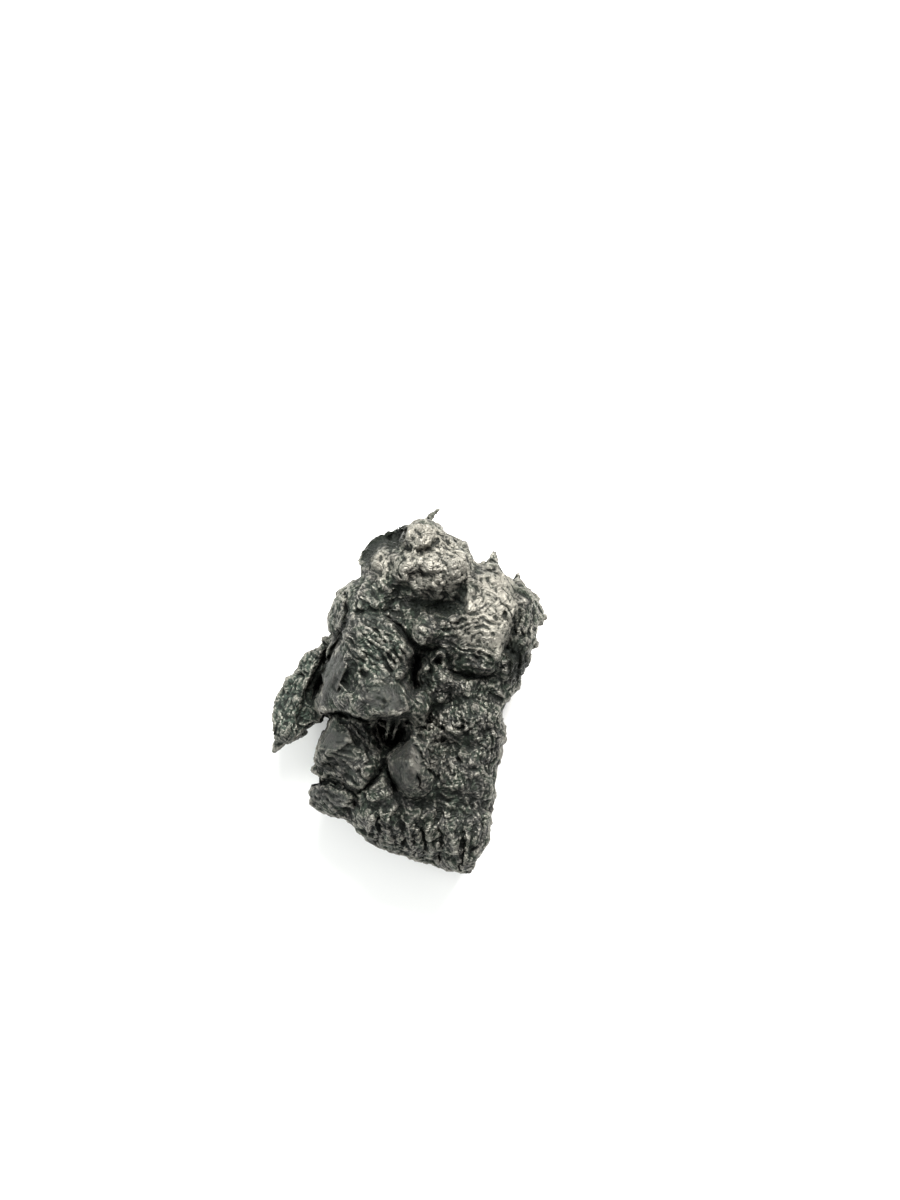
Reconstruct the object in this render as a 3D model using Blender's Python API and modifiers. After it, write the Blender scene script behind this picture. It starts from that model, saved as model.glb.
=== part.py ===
"""Meteorite: one fused, folded lump of iron, lying on its flatter back.

The stone is looked at from above. +X runs to the right of its face, +Y from the foot to the crown, and
+Z out of the face. The origin is on the resting surface, under the middle of the stone's box.

The stone is modelled as it formed: thick plates, each with the outline of one stretch of the stone's
edge, and lumps that stand out of the face and the back. They fuse to one skin, which is hollowed,
roughened, and worn flat where it rests. All sizes in the tables are in millimetres.
"""

import math

import bmesh
import bpy
from mathutils import Matrix, Vector

# Driving dimensions, in metres.
MM = 0.001
RESTING_PLANE = 0.0  # height at which the back is worn flat
FUSE_VOXEL = 0.8 * MM  # grain of the first fusing of plates and lumps
SKIN_VOXEL = 1.4 * MM  # grain of the finished skin
SOFTENING_PASSES = 2
ROUND_ICO = 3  # subdivisions of a lump
SKIN_GROWTH = 0.6 * MM  # how far the roughness carries the edge outwards
EDGE_SEGMENTS = 3  # segments of a plate's rounded edge
WELD = 0.01 * MM  # distance under which a plate's points are made one
SPUR_SIDES = 12
WEAR_BLOCK = (90 * MM, 90 * MM, 20 * MM)  # the block that wears the back flat

KNOB_SIZE = 4.5 * MM  # size and height of the coarse roughness
KNOB_HEIGHT = 1.5 * MM
GRAIN_SIZE = 1.9 * MM  # size and height of the fine roughness
GRAIN_HEIGHT = 0.8 * MM

IRON_COLOUR = (0.075, 0.082, 0.073, 1.0)
IRON_ROUGHNESS = 0.48
IRON_METALLIC = 0.6

# Each plate: outline of (x, y) points, heights of its back and front, radius of its edge.
PLATES = {
    "crown": (
        [
            (-7.4, 17.0), (-7.5, 21.2), (-5.6, 23.2), (-2.8, 24.8), (0.0, 25.6), (2.2, 26.0),
            (4.6, 24.8), (6.0, 23.0), (8.6, 22.3), (9.3, 20.6), (9.5, 17.0), (6.0, 12.0), (-6.0, 12.0),
        ],
        5.0, 17.0, 2.6,
    ),
    "shoulder": (
        [
            (8.0, 18.2), (11.2, 18.8), (12.6, 19.4), (13.6, 17.6), (15.6, 16.2), (17.5, 15.4),
            (18.9, 13.8), (20.2, 11.4), (19.4, 8.0), (17.8, 5.0), (16.6, 2.6), (17.0, 1.0),
            (15.0, -1.0), (9.0, -2.0), (3.0, 8.0),
        ],
        4.5, 16.5, 3.0,
    ),
    "flank": (
        [
            (-8.8, 16.9), (-11.0, 15.5), (-11.4, 13.4), (-12.0, 10.0), (-11.7, 8.0), (-12.4, 4.5),
            (-13.6, 0.0), (-14.0, -2.8), (-10.0, -3.3), (0.0, -4.0), (6.0, 10.0), (-4.0, 18.0),
        ],
        3.5, 17.0, 3.0,
    ),
    "wing": (
        [
            (-12.0, 9.0), (-14.0, 8.3), (-15.0, 7.1), (-16.8, 5.7), (-17.9, 2.8), (-19.6, 0.4),
            (-21.0, -1.0), (-21.4, -4.0), (-21.0, -7.5), (-20.6, -9.2), (-18.0, -8.2),
            (-15.9, -6.5), (-14.2, -4.8), (-12.2, -3.6), (-11.0, 2.0), (-10.4, 8.0),
        ],
        4.5, 10.5, 1.6,
    ),
    "trunk": (
        [
            (13.2, 1.0), (13.2, -3.4), (14.6, -5.6), (13.4, -8.8), (12.3, -11.4), (12.7, -15.3),
            (11.7, -18.0), (12.2, -21.4), (10.6, -24.0), (8.9, -27.0), (6.4, -26.9), (0.0, -25.1),
            (-6.4, -23.3), (-9.8, -20.0), (-8.0, -15.0), (-8.0, -3.8), (0.0, 3.0),
        ],
        3.0, 16.0, 3.4,
    ),
    "haunch": (
        [
            (-6.0, -13.4), (-13.8, -12.9), (-15.1, -12.0), (-15.0, -9.8), (-14.6, -8.0),
            (-12.4, -6.4), (-11.4, -4.6), (-6.0, -4.2),
        ],
        5.0, 15.0, 2.4,
    ),
    "hoof": (
        [
            (-6.0, -20.2), (-9.6, -19.2), (-13.4, -18.6), (-15.3, -17.3), (-16.0, -15.0),
            (-14.2, -13.7), (-6.0, -13.2),
        ],
        5.0, 12.0, 1.8,
    ),
}

# Each lump: centre (x, y, z), half sizes, and its turn about Z in degrees.
FACE_LUMPS = {
    "crown_knob": ((1.8, 23.2, 16.5), (2.6, 2.8, 2.8), 0),
    "crown_brow": ((4.4, 18.4, 18.5), (5.2, 4.0, 5.0), -10),
    "crown_left": ((-3.2, 19.0, 15.5), (3.8, 3.6, 3.6), 0),
    "temple": ((-5.2, 14.2, 17.0), (4.6, 4.2, 3.8), 20),
    "nose": ((2.6, 9.4, 19.0), (4.0, 3.4, 4.4), -20),
    "furrowed_cheek": ((-4.4, 7.4, 19.5), (6.6, 4.8, 4.8), -40),
    "plateau_top": ((12.4, 14.2, 17.0), (5.4, 5.0, 4.0), 0),
    "plateau_low": ((11.0, 8.6, 18.0), (6.4, 4.2, 4.4), -10),
    "plateau_edge": ((15.6, 10.5, 14.5), (3.6, 5.0, 4.0), 10),
    "drape": ((-9.8, 2.6, 15.0), (3.4, 6.2, 4.8), -20),
    "lip": ((-3.6, -0.2, 20.5), (5.2, 3.2, 5.2), -25),
    "curl": ((4.4, 3.6, 18.0), (2.4, 3.4, 3.6), 10),
    "neck": ((9.4, 1.0, 15.5), (4.8, 4.6, 4.6), 0),
    "column_top": ((8.8, -4.0, 16.0), (4.8, 5.0, 4.4), 0),
    "column_mid": ((8.2, -11.0, 15.5), (4.6, 6.0, 4.4), 0),
    "boulder": ((0.6, -10.2, 18.5), (3.8, 4.2, 4.6), 0),
    "haunch_bulge": ((-8.6, -8.6, 15.5), (4.6, 4.4, 4.0), 0),
    "haunch_fold": ((-6.2, -11.5, 16.5), (3.0, 3.4, 3.4), -30),
    "hoof_back": ((-10.5, -16.2, 10.5), (4.4, 2.4, 3.4), 0),
    "belly": ((-1.4, -16.8, 15.5), (6.5, 4.0, 3.6), -15),
    "foot": ((1.6, -21.2, 13.0), (7.2, 3.4, 3.2), -18),
    "heel": ((7.8, -20.0, 14.0), (4.0, 5.5, 4.2), 0),
}
BACK_LUMPS = {
    "back_crown": ((3.0, 15.0, 6.5), (8.5, 8.0, 6.9), 0),
    "back_shoulder": ((10.0, 6.0, 7.0), (6.8, 8.0, 6.6), 0),
    "back_flank": ((-6.0, 5.0, 6.5), (6.5, 8.5, 6.8), 15),
    "back_trunk": ((2.0, -9.0, 7.0), (9.5, 9.0, 7.5), 0),
    "back_foot": ((5.0, -19.0, 6.5), (6.5, 6.5, 7.0), 0),
}
SPURS = {
    # Each spur: root, tip, root radius and tip radius.
    "crown_spur": ((2.6, 24.6, 15.0), (4.6, 27.1, 15.5), 1.7, 1.1),
    "shoulder_horn": ((12.4, 18.0, 14.0), (12.9, 20.6, 14.5), 1.4, 0.7),
    "edge_horn": ((16.6, 15.6, 12.5), (16.7, 17.7, 13.0), 1.2, 0.5),
    "edge_knob": ((18.6, 11.0, 12.0), (20.7, 11.0, 12.5), 1.7, 1.0),
    "wing_barb": ((-19.4, -7.4, 7.5), (-20.4, -9.0, 7.5), 1.4, 0.7),
}
# Each hollow is a lump that is cut away.
HOLLOWS = {
    "eye_socket": ((4.5, 13.2, 23.0), (4.2, 1.9, 5.0), -8),
    "throat": ((1.2, 2.2, 22.0), (0.9, 2.4, 9.0), 0),
    "gullet": ((0.6, 7.4, 24.5), (0.9, 2.6, 5.0), 25),
    "mouth": ((-2.1, -6.2, 22.0), (1.9, 3.0, 9.0), -18),
    "under_plateau": ((10.0, 3.4, 21.5), (3.4, 1.0, 4.5), -8),
    "wing_cleft": ((-12.6, 3.0, 15.0), (0.9, 7.4, 7.5), -24),
    "flank_cleft": ((-9.3, 12.2, 15.5), (0.7, 3.2, 4.5), 0),
    "haunch_cleft": ((-5.2, -13.0, 19.0), (0.6, 3.4, 5.0), -45),
    "boulder_cleft": ((-2.6, -12.4, 20.0), (0.6, 3.0, 5.0), 28),
    "hoof_cleft": ((-11.0, -13.2, 13.5), (3.6, 0.6, 4.5), 6),
    "armpit": ((-15.6, -8.0, 10.0), (6.4, 2.3, 30.0), 50),
}


def clear_scene():
    """Removes what the scene holds, such as the startup objects."""
    for obj in list(bpy.data.objects):
        bpy.data.objects.remove(obj, do_unlink=True)


def new_collection(name):
    """A collection of that name, linked to the scene."""
    collection = bpy.data.collections.new(name)
    bpy.context.scene.collection.children.link(collection)
    return collection


def iron_material():
    """Dark fused iron."""
    material = bpy.data.materials.new("fused_iron")
    material.use_nodes = True
    shader = material.node_tree.nodes["Principled BSDF"]
    shader.inputs["Base Color"].default_value = IRON_COLOUR
    shader.inputs["Roughness"].default_value = IRON_ROUGHNESS
    shader.inputs["Metallic"].default_value = IRON_METALLIC
    return material


def add_lump(bm, centre, half_sizes, turn):
    """Adds an ellipsoid, turned about Z by turn degrees."""
    place = Matrix.Translation(Vector(centre) * MM)
    spin = Matrix.Rotation(math.radians(turn), 4, "Z")
    size = Matrix.Diagonal((*(Vector(half_sizes) * MM), 1.0))
    bmesh.ops.create_icosphere(bm, subdivisions=ROUND_ICO, radius=1.0, matrix=place @ spin @ size)


def add_spur(bm, root, tip, root_radius, tip_radius):
    """Adds a blunt cone from root to tip."""
    run = (Vector(tip) - Vector(root)) * MM
    middle = (Vector(tip) + Vector(root)) / 2 * MM
    place = Matrix.Translation(middle) @ run.to_track_quat("Z", "Y").to_matrix().to_4x4()
    bmesh.ops.create_cone(
        bm,
        cap_ends=True,
        segments=SPUR_SIDES,
        radius1=root_radius * MM,
        radius2=tip_radius * MM,
        depth=run.length,
        matrix=place,
    )


def add_plate(bm, outline, back, front, edge):
    """Adds a thick plate with a rounded edge, made from a filled flat curve."""
    curve = bpy.data.curves.new("plate", "CURVE")
    curve.dimensions = "2D"
    curve.fill_mode = "BOTH"
    curve.extrude = (front - back) / 2 * MM - edge * MM
    curve.bevel_depth = edge * MM
    curve.bevel_resolution = EDGE_SEGMENTS
    curve.offset = -edge * MM - SKIN_GROWTH
    spline = curve.splines.new("POLY")
    spline.points.add(len(outline) - 1)
    for point, (x, y) in zip(spline.points, outline):
        point.co = (x * MM, y * MM, 0.0, 1.0)
    spline.use_cyclic_u = True
    holder = bpy.data.objects.new("plate", curve)
    bpy.context.scene.collection.objects.link(holder)
    bpy.context.view_layer.update()
    graph = bpy.context.evaluated_depsgraph_get()
    mesh = bpy.data.meshes.new_from_object(holder.evaluated_get(graph))
    mesh.transform(Matrix.Translation((0.0, 0.0, (back + front) / 2 * MM)))
    piece = bmesh.new()
    piece.from_mesh(mesh)
    bmesh.ops.remove_doubles(piece, verts=piece.verts, dist=WELD)
    bmesh.ops.recalc_face_normals(piece, faces=piece.faces)
    piece.to_mesh(mesh)
    piece.free()
    bm.from_mesh(mesh)
    bpy.data.objects.remove(holder, do_unlink=True)
    bpy.data.curves.remove(curve)
    bpy.data.meshes.remove(mesh)


def object_from(bm, name, collection):
    """Turns the bmesh into an object in the collection."""
    mesh = bpy.data.meshes.new(name)
    bm.to_mesh(mesh)
    bm.free()
    obj = bpy.data.objects.new(name, mesh)
    collection.objects.link(obj)
    return obj


def fuse(obj, name, voxel):
    """Fuses overlapping shapes to one closed skin."""
    remesh = obj.modifiers.new(name, "REMESH")
    remesh.mode = "VOXEL"
    remesh.voxel_size = voxel


def roughen(obj, name, kind, size, height):
    """Pushes the skin in and out by a solid noise of that size and height."""
    texture = bpy.data.textures.new(name, kind)
    texture.noise_scale = size
    if kind == "MUSGRAVE":
        texture.musgrave_type = "RIDGED_MULTIFRACTAL"
        texture.octaves = 2.0
    displace = obj.modifiers.new(name, "DISPLACE")
    displace.texture = texture
    displace.texture_coords = "LOCAL"
    displace.strength = height
    displace.mid_level = 0.5


def make_hollows(collection):
    """The cutter that hollows the face. It isn't part of the stone."""
    bm = bmesh.new()
    for centre, half_sizes, turn in HOLLOWS.values():
        add_lump(bm, centre, half_sizes, turn)
    cutter = object_from(bm, "hollows", collection)
    fuse(cutter, "fuse", FUSE_VOXEL / 2)
    cutter.hide_render = True
    cutter.display_type = "WIRE"
    return cutter


def make_floor_cutter(collection):
    """The block that wears the back flat where the stone rests. It isn't part of the stone."""
    place = Matrix.Translation((0.0, 0.0, RESTING_PLANE - WEAR_BLOCK[2] / 2))
    size = Matrix.Diagonal((*WEAR_BLOCK, 1.0))
    bm = bmesh.new()
    bmesh.ops.create_cube(bm, size=1.0, matrix=place @ size)
    cutter = object_from(bm, "resting_plane", collection)
    cutter.hide_render = True
    cutter.display_type = "WIRE"
    return cutter


def cut(obj, cutter):
    """Cuts the cutter's shape out of obj."""
    boolean = obj.modifiers.new(cutter.name, "BOOLEAN")
    boolean.operation = "DIFFERENCE"
    boolean.object = cutter


def make_stone(collection, hollows, floor_cutter):
    """The stone before it is put on its origin."""
    bm = bmesh.new()
    for outline, back, front, edge in PLATES.values():
        add_plate(bm, outline, back, front, edge)
    for centre, half_sizes, turn in (*FACE_LUMPS.values(), *BACK_LUMPS.values()):
        add_lump(bm, centre, half_sizes, turn)
    for spur in SPURS.values():
        add_spur(bm, *spur)
    stone = object_from(bm, "stone_shape", collection)
    fuse(stone, "fuse", FUSE_VOXEL)
    soften = stone.modifiers.new("soften", "SMOOTH")
    soften.iterations = SOFTENING_PASSES
    cut(stone, hollows)
    roughen(stone, "knobs", "MUSGRAVE", KNOB_SIZE, KNOB_HEIGHT)
    roughen(stone, "grain", "CLOUDS", GRAIN_SIZE, GRAIN_HEIGHT)
    fuse(stone, "skin", SKIN_VOXEL)
    cut(stone, floor_cutter)
    return stone


def settle(shape, name, collection):
    """The finished stone: shape's evaluated mesh, with the origin under the middle of its box."""
    bpy.context.view_layer.update()
    graph = bpy.context.evaluated_depsgraph_get()
    mesh = bpy.data.meshes.new_from_object(shape.evaluated_get(graph))
    mesh.name = name
    xs = [v.co.x for v in mesh.vertices]
    ys = [v.co.y for v in mesh.vertices]
    centre = Vector(((min(xs) + max(xs)) / 2, (min(ys) + max(ys)) / 2, RESTING_PLANE))
    mesh.transform(Matrix.Translation(-centre))
    mesh.materials.clear()
    mesh.materials.append(iron_material())
    stone = bpy.data.objects.new(name, mesh)
    collection.objects.link(stone)
    shape.hide_render = True
    shape.display_type = "WIRE"
    return stone


def main():
    """Builds the stone."""
    clear_scene()
    parts = new_collection("meteorite")
    cutters = new_collection("cutters")
    shape = make_stone(cutters, make_hollows(cutters), make_floor_cutter(cutters))
    settle(shape, "meteorite", parts)


main()
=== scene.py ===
"""Meteorite: a fused, folded lump of iron, lying on its back on a pale studio floor.

The stone is worked as a sculptor would work it. The CAD form is remeshed and softened, the big forms of the
face are raised and hollowed, and horns and chunks are fused on. An upright cutter trims the outline. Then
come the folds, creases and pits of the face, stroke by stroke, and a grain for each zone of the crust, for
the sides and for the back. What stands out and what lies deep is measured on the finished mesh and kept as
attributes, which the material reads.

All places on the face are millimetres in the frame: x to the right, y up to the crown, z out of the face.
"""

import logging
import math
from collections.abc import Iterator
from contextlib import contextmanager
from dataclasses import dataclass, field
from enum import Enum

import bpy
import numpy as np
from mathutils import Matrix, Vector


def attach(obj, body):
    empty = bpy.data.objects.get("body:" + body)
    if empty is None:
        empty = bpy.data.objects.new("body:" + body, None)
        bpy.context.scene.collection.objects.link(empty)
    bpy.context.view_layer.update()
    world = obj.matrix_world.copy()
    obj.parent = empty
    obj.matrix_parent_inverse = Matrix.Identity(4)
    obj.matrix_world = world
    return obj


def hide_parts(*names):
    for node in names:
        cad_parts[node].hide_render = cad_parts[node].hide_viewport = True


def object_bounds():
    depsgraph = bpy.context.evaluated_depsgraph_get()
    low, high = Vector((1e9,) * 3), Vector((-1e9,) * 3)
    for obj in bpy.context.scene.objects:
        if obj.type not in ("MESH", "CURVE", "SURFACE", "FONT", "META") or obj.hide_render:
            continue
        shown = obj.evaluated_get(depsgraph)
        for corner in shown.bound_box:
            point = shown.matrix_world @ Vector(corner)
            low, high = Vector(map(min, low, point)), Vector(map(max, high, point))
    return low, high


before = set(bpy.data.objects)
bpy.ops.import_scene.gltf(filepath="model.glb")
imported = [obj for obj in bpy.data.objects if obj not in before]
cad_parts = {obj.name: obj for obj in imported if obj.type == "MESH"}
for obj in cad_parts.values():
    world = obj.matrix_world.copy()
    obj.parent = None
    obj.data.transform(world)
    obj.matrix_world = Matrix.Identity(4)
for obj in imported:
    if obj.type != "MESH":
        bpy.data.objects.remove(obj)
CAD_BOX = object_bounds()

log = logging.getLogger("meteorite")

MM = 0.001
SEED = 355
TABLE = 256  # rows of a noise's tables, a power of two

Point = tuple[float, ...]
Path = tuple[Point, ...]
Colour = tuple[float, float, float, float]
Socket = bpy.types.NodeSocket


# --- helpers ---


def smoothstep(low: float, high: float, values: np.ndarray) -> np.ndarray:
    """Eases values from 0 at low to 1 at high."""
    share = np.clip((values - low) / (high - low), 0.0, 1.0)
    return share * share * (3.0 - 2.0 * share)


def smooth_path(points: Path, spacing: float) -> np.ndarray:
    """A Catmull-Rom curve through points.

    Args:
        points: the points the curve passes through.
        spacing: about how far apart the samples are.

    Returns:
        The samples, one row each.
    """
    knots = np.array(points, float)
    knots = np.vstack([2 * knots[0] - knots[1], knots, 2 * knots[-1] - knots[-2]])
    samples = []
    for a, b, c, d in zip(knots, knots[1:], knots[2:], knots[3:]):
        count = max(2, math.ceil(float(np.linalg.norm(c - b)) / spacing))
        t = np.linspace(0.0, 1.0, count, endpoint=False)[:, None]
        square = (2 * a - 5 * b + 4 * c - d) * t**2
        cube = (3 * b - a - 3 * c + d) * t**3
        samples.append(0.5 * (2 * b + (c - a) * t + square + cube))
    samples.append(knots[-2][None])
    return np.vstack(samples)


def rows(text: str) -> Iterator[tuple[list[str], Path]]:
    """Reads a drawing that is written as text.

    Args:
        text: its rows: words, a colon, and points. A point's numbers have commas between them. A line without
            a colon is a heading, and one that ends with a backslash goes on in the next.

    Yields:
        The words and the points of each row.
    """
    for line in text.splitlines():
        words, colon, points = line.partition(":")
        if colon:
            yield words.split(), tuple(tuple(map(float, point.split(","))) for point in points.split())


def only(obj: bpy.types.Object) -> None:
    """Selects obj alone and makes it the active object."""
    bpy.ops.object.select_all(action="DESELECT")
    obj.select_set(True)
    bpy.context.view_layer.objects.active = obj


@contextmanager
def editing(obj: bpy.types.Object) -> Iterator[None]:
    """Edit mode on obj, with all of it selected."""
    only(obj)
    bpy.ops.object.mode_set(mode="EDIT")
    bpy.ops.mesh.select_all(action="SELECT")
    yield
    bpy.ops.object.mode_set(mode="OBJECT")


def new_object(name: str, points: list[Point], faces: list[tuple[int, ...]]) -> bpy.types.Object:
    """Makes a mesh object from points in metres and puts it in the scene."""
    mesh = bpy.data.meshes.new(name)
    mesh.from_pydata(points, [], faces)
    obj = bpy.data.objects.new(name, mesh)
    bpy.context.scene.collection.objects.link(obj)
    return obj


def triangles(obj: bpy.types.Object) -> int:
    """How many triangles a mesh object has."""
    return sum(len(face.vertices) - 2 for face in obj.data.polygons)


def apply_modifier(obj: bpy.types.Object, modifier: bpy.types.Modifier) -> None:
    """Applies a modifier to its object."""
    only(obj)
    bpy.ops.object.modifier_apply(modifier=modifier.name)


class Noise:
    """Solid noises for many points at once, always the same for one seed."""

    def __init__(self, seed: int) -> None:
        """Draws the tables from the seed."""
        dice = np.random.default_rng(seed)
        self.order = dice.permutation(TABLE)
        self.slopes = dice.normal(size=(TABLE, 3))
        self.slopes /= np.linalg.norm(self.slopes, axis=1)[:, None]
        self.spots = dice.random((TABLE, 3))
        self.levels = dice.uniform(-1.0, 1.0, TABLE)

    def pick(self, cell: np.ndarray) -> np.ndarray:
        """The table row of each lattice cell."""
        order, last = self.order, TABLE - 1
        return order[(order[(order[cell[:, 0] & last] + cell[:, 1]) & last] + cell[:, 2]) & last]

    def waves(self, points: np.ndarray) -> np.ndarray:
        """Smooth noise with waves about one unit long, from about -1 to 1."""
        cell = np.floor(points).astype(int)
        part = points - cell
        ease = part**3 * (part * (part * 6 - 15) + 10)
        total = np.zeros(len(points))
        for corner in np.ndindex(2, 2, 2):
            step = np.array(corner)
            slope = self.slopes[self.pick(cell + step)]
            share = np.prod(np.where(step == 1, ease, 1 - ease), axis=1)
            total += share * (slope * (part - step)).sum(1)
        return 1.6 * total

    def ridges(self, points: np.ndarray, octaves: int = 3) -> np.ndarray:
        """Sharp-crested noise, from about -1 to 1."""
        total = np.zeros(len(points))
        weight = np.ones(len(points))
        for octave in range(octaves):
            crest = (1.0 - np.abs(self.waves(points * 2.0**octave + 17.3 * octave))) ** 2
            total += crest * weight * 0.55**octave
            weight = np.clip(1.6 * crest, 0.0, 1.0)
        return 1.3 * total - 1.0

    def neighbours(self, points: np.ndarray) -> Iterator[tuple[np.ndarray, np.ndarray, np.ndarray]]:
        """The spots of the 27 cells round each point.

        Args:
            points: the points.

        Yields:
            Of one cell after the other, its table row, its gap to the spot, and how far off that is.
        """
        cell = np.floor(points).astype(int)
        for corner in np.ndindex(3, 3, 3):
            other = cell + np.array(corner) - 1
            row = self.pick(other)
            gap = points - other - self.spots[row]
            yield row, gap, np.sqrt((gap**2).sum(1))

    def facets(self, points: np.ndarray) -> np.ndarray:
        """Broken facets about one unit across, each tilted its own way, with a crease round each."""
        near = np.full(len(points), np.inf)
        second = near.copy()
        height = np.zeros(len(points))
        for row, gap, distance in self.neighbours(points):
            closer = distance < near
            second = np.where(closer, near, np.minimum(second, distance))
            near = np.where(closer, distance, near)
            tilted = 0.9 * (gap * self.slopes[row]).sum(1) + 0.5 * self.levels[row]
            height = np.where(closer, tilted, height)
        return height - 0.35 * smoothstep(0.16, 0.0, second - near)

    def pits(self, points: np.ndarray) -> np.ndarray:
        """Round holes about half a unit across, from 0 between them to -1 inside."""
        near = np.full(len(points), np.inf)
        for _, _, distance in self.neighbours(points):
            near = np.minimum(near, distance)
        return -smoothstep(0.5, 0.28, near)


def folded(phase: np.ndarray) -> np.ndarray:
    """Rounded folds with a sharp crease between them, one for each unit of phase."""
    return 1.5 * np.abs(np.cos(math.pi * phase)) - 1.0


# --- the sculptor's tools ---


class Brush(Enum):
    """What a stroke leaves along its path."""

    RIDGE = "ridge"  # a rounded ridge, or a groove if its height is negative
    SCARP = "scarp"  # a fold that swells on the left of the path and drops steeply on its right
    RAKE = "rake"  # many rounded ridges side by side, with sharp creases between them


@dataclass(frozen=True)
class Stroke:
    """One pull of a tool over the face, in millimetres.

    Attributes:
        path: the points it passes through.
        brush: the profile it leaves.
        width: half its width.
        height: how far it lifts the face, negative to cut in.
        pitch: from ridge to ridge of a rake.
    """

    path: Path
    brush: Brush
    width: float
    height: float
    pitch: float = 0.8

    def lift(self, places: np.ndarray, stir: np.ndarray) -> np.ndarray:
        """How far the stroke lifts each place.

        Args:
            places: x and y of each place.
            stir: how far a rake's ridges wander at each place, in ridges.

        Returns:
            The lift at each place.
        """
        line = smooth_path(self.path, 0.35 * self.width + 0.1)
        reach = 3.0 * self.width
        near = np.all((places > line.min(0) - reach) & (places < line.max(0) + reach), axis=1)
        lift = np.zeros(len(places))
        if not near.any():
            return lift
        spot = places[near]
        gap = spot[:, None, :] - line[None, :, :]
        square = (gap**2).sum(-1)
        nearest = square.argmin(1)
        distance = np.sqrt(square[np.arange(len(spot)), nearest])
        along = nearest / (len(line) - 1)
        taper = smoothstep(0.0, 0.22, along) * smoothstep(1.0, 0.78, along) * 0.85 + 0.15
        tangent = np.gradient(line, axis=0)[nearest]
        offset = spot - line[nearest]
        side = np.sign(tangent[:, 0] * offset[:, 1] - tangent[:, 1] * offset[:, 0]) * distance
        if self.brush is Brush.RIDGE:
            profile = np.exp(-((distance / self.width) ** 2))
        elif self.brush is Brush.RAKE:
            comb = folded(side / self.pitch + stir[near])
            profile = comb * smoothstep(1.0, 0.5, distance / self.width) * (0.75 + 0.5 * stir[near])
        else:
            swell = np.exp(-((side / (1.5 * self.width)) ** 2))
            drop = np.exp(-((side / (0.3 * self.width)) ** 2))
            recess = 0.45 * np.exp(-(((side + 0.75 * self.width) / (0.5 * self.width)) ** 2))
            profile = np.where(side > 0.0, swell, drop) - recess * (side < 0.3)
        lift[near] = self.height * profile * taper
        return lift


@dataclass(frozen=True)
class Dab:
    """A form that is raised or hollowed in the face, in millimetres.

    Attributes:
        centre: its middle.
        radii: its half sizes.
        height: how far it lifts the face, negative for a hollow.
        turn: its turn in degrees.
        edge: the share of its radius over which it falls away, small for a steep edge.
    """

    centre: Point
    radii: Point
    height: float
    turn: float
    edge: float

    def share(self, places: np.ndarray) -> np.ndarray:
        """How much of the form is at each place, from 0 outside it to 1 in its middle."""
        c, s = math.cos(math.radians(self.turn)), math.sin(math.radians(self.turn))
        gap = places - np.array(self.centre)
        across = (gap[:, 0] * c + gap[:, 1] * s) / self.radii[0]
        up = (gap[:, 1] * c - gap[:, 0] * s) / self.radii[1]
        return smoothstep(1.0, 1.0 - self.edge, np.hypot(across, up))

    def lift(self, places: np.ndarray, stir: np.ndarray) -> np.ndarray:
        """How far the form lifts each place, which its stir roughens a little."""
        return self.height * self.share(places) * (1.0 + 0.25 * stir)


Tools = tuple[Dab | Stroke, ...]


def sketch(text: str) -> Tools:
    """Reads forms and strokes, in the order in which they are worked.

    Args:
        text: rows such as "dab height turn edge: centre half-sizes", "ridge width height: path",
            "scarp width height: path" and "rake width height pitch: path".

    Returns:
        The tools.
    """
    tools = []
    for (kind, *settings), points in rows(text):
        numbers = map(float, settings)
        tools.append(Dab(*points, *numbers) if kind == "dab" else Stroke(points, Brush(kind), *numbers))
    return tuple(tools)


@dataclass(frozen=True)
class Horn:
    """A horn or knob that is fused on: root, tip, and its radii there, in millimetres."""

    root: Point
    tip: Point
    root_radius: float
    tip_radius: float


def horns(text: str) -> tuple[Horn, ...]:
    """Reads horns from rows such as "root-radius tip-radius: root tip"."""
    return tuple(Horn(*points, *map(float, radii)) for radii, points in rows(text))


class Pattern(Enum):
    """The solid patterns that roughen the crust."""

    FACETS = "facets"  # broken, tilted facets
    RIDGES = "ridges"  # sharp crests
    ROPES = "ropes"  # wandering, parallel folds
    CURLS = "curls"  # folds that curl round on themselves
    PITS = "pits"  # small round holes


@dataclass(frozen=True)
class Grain:
    """A roughness of the crust.

    Attributes:
        pattern: the solid pattern.
        size: its size in millimetres.
        depth: how far it moves the crust, in millimetres.
        zone: the name of the zone it keeps to, or "" for all of the stone.
        stretch: how much longer it is along its direction than across.
        turn: its direction, in degrees.
        swirl: how far it is swirled, in shares of its size.
        sunk: how far it sinks the crust besides, in millimetres.
    """

    pattern: Pattern
    size: float
    depth: float
    zone: str = ""
    stretch: float = 1.0
    turn: float = 0.0
    swirl: float = 0.5
    sunk: float = 0.0

    def lift(self, points: np.ndarray, noise: Noise) -> np.ndarray:
        """How far the grain moves each point along its normal.

        Args:
            points: the points, in millimetres.
            noise: the noise it is drawn from.

        Returns:
            The lift at each point.
        """
        turned = points @ np.array(Matrix.Rotation(math.radians(self.turn), 3, "Z"))
        scaled = turned / (self.size * np.array([self.stretch, 1.0, 1.0]))
        swirled = scaled.copy()
        for axis in range(3):
            swirled[:, axis] += self.swirl * noise.waves(0.8 * scaled + 31.7 * (axis + 1))
        if self.pattern is Pattern.FACETS:
            return self.depth * noise.facets(swirled)
        if self.pattern is Pattern.RIDGES:
            return self.depth * noise.ridges(swirled)
        if self.pattern is Pattern.PITS:
            return self.depth * noise.pits(swirled)
        if self.pattern is Pattern.CURLS:
            return self.depth * folded(3.4 * noise.waves(0.36 * swirled + 8.8))
        wander = swirled[:, 1] + 0.7 * noise.waves(0.45 * scaled + 5.1)
        fade = 0.6 + 0.6 * noise.waves(0.35 * scaled + 9.7)
        return self.depth * folded(wander) * fade


# --- the sculptor ---


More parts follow.
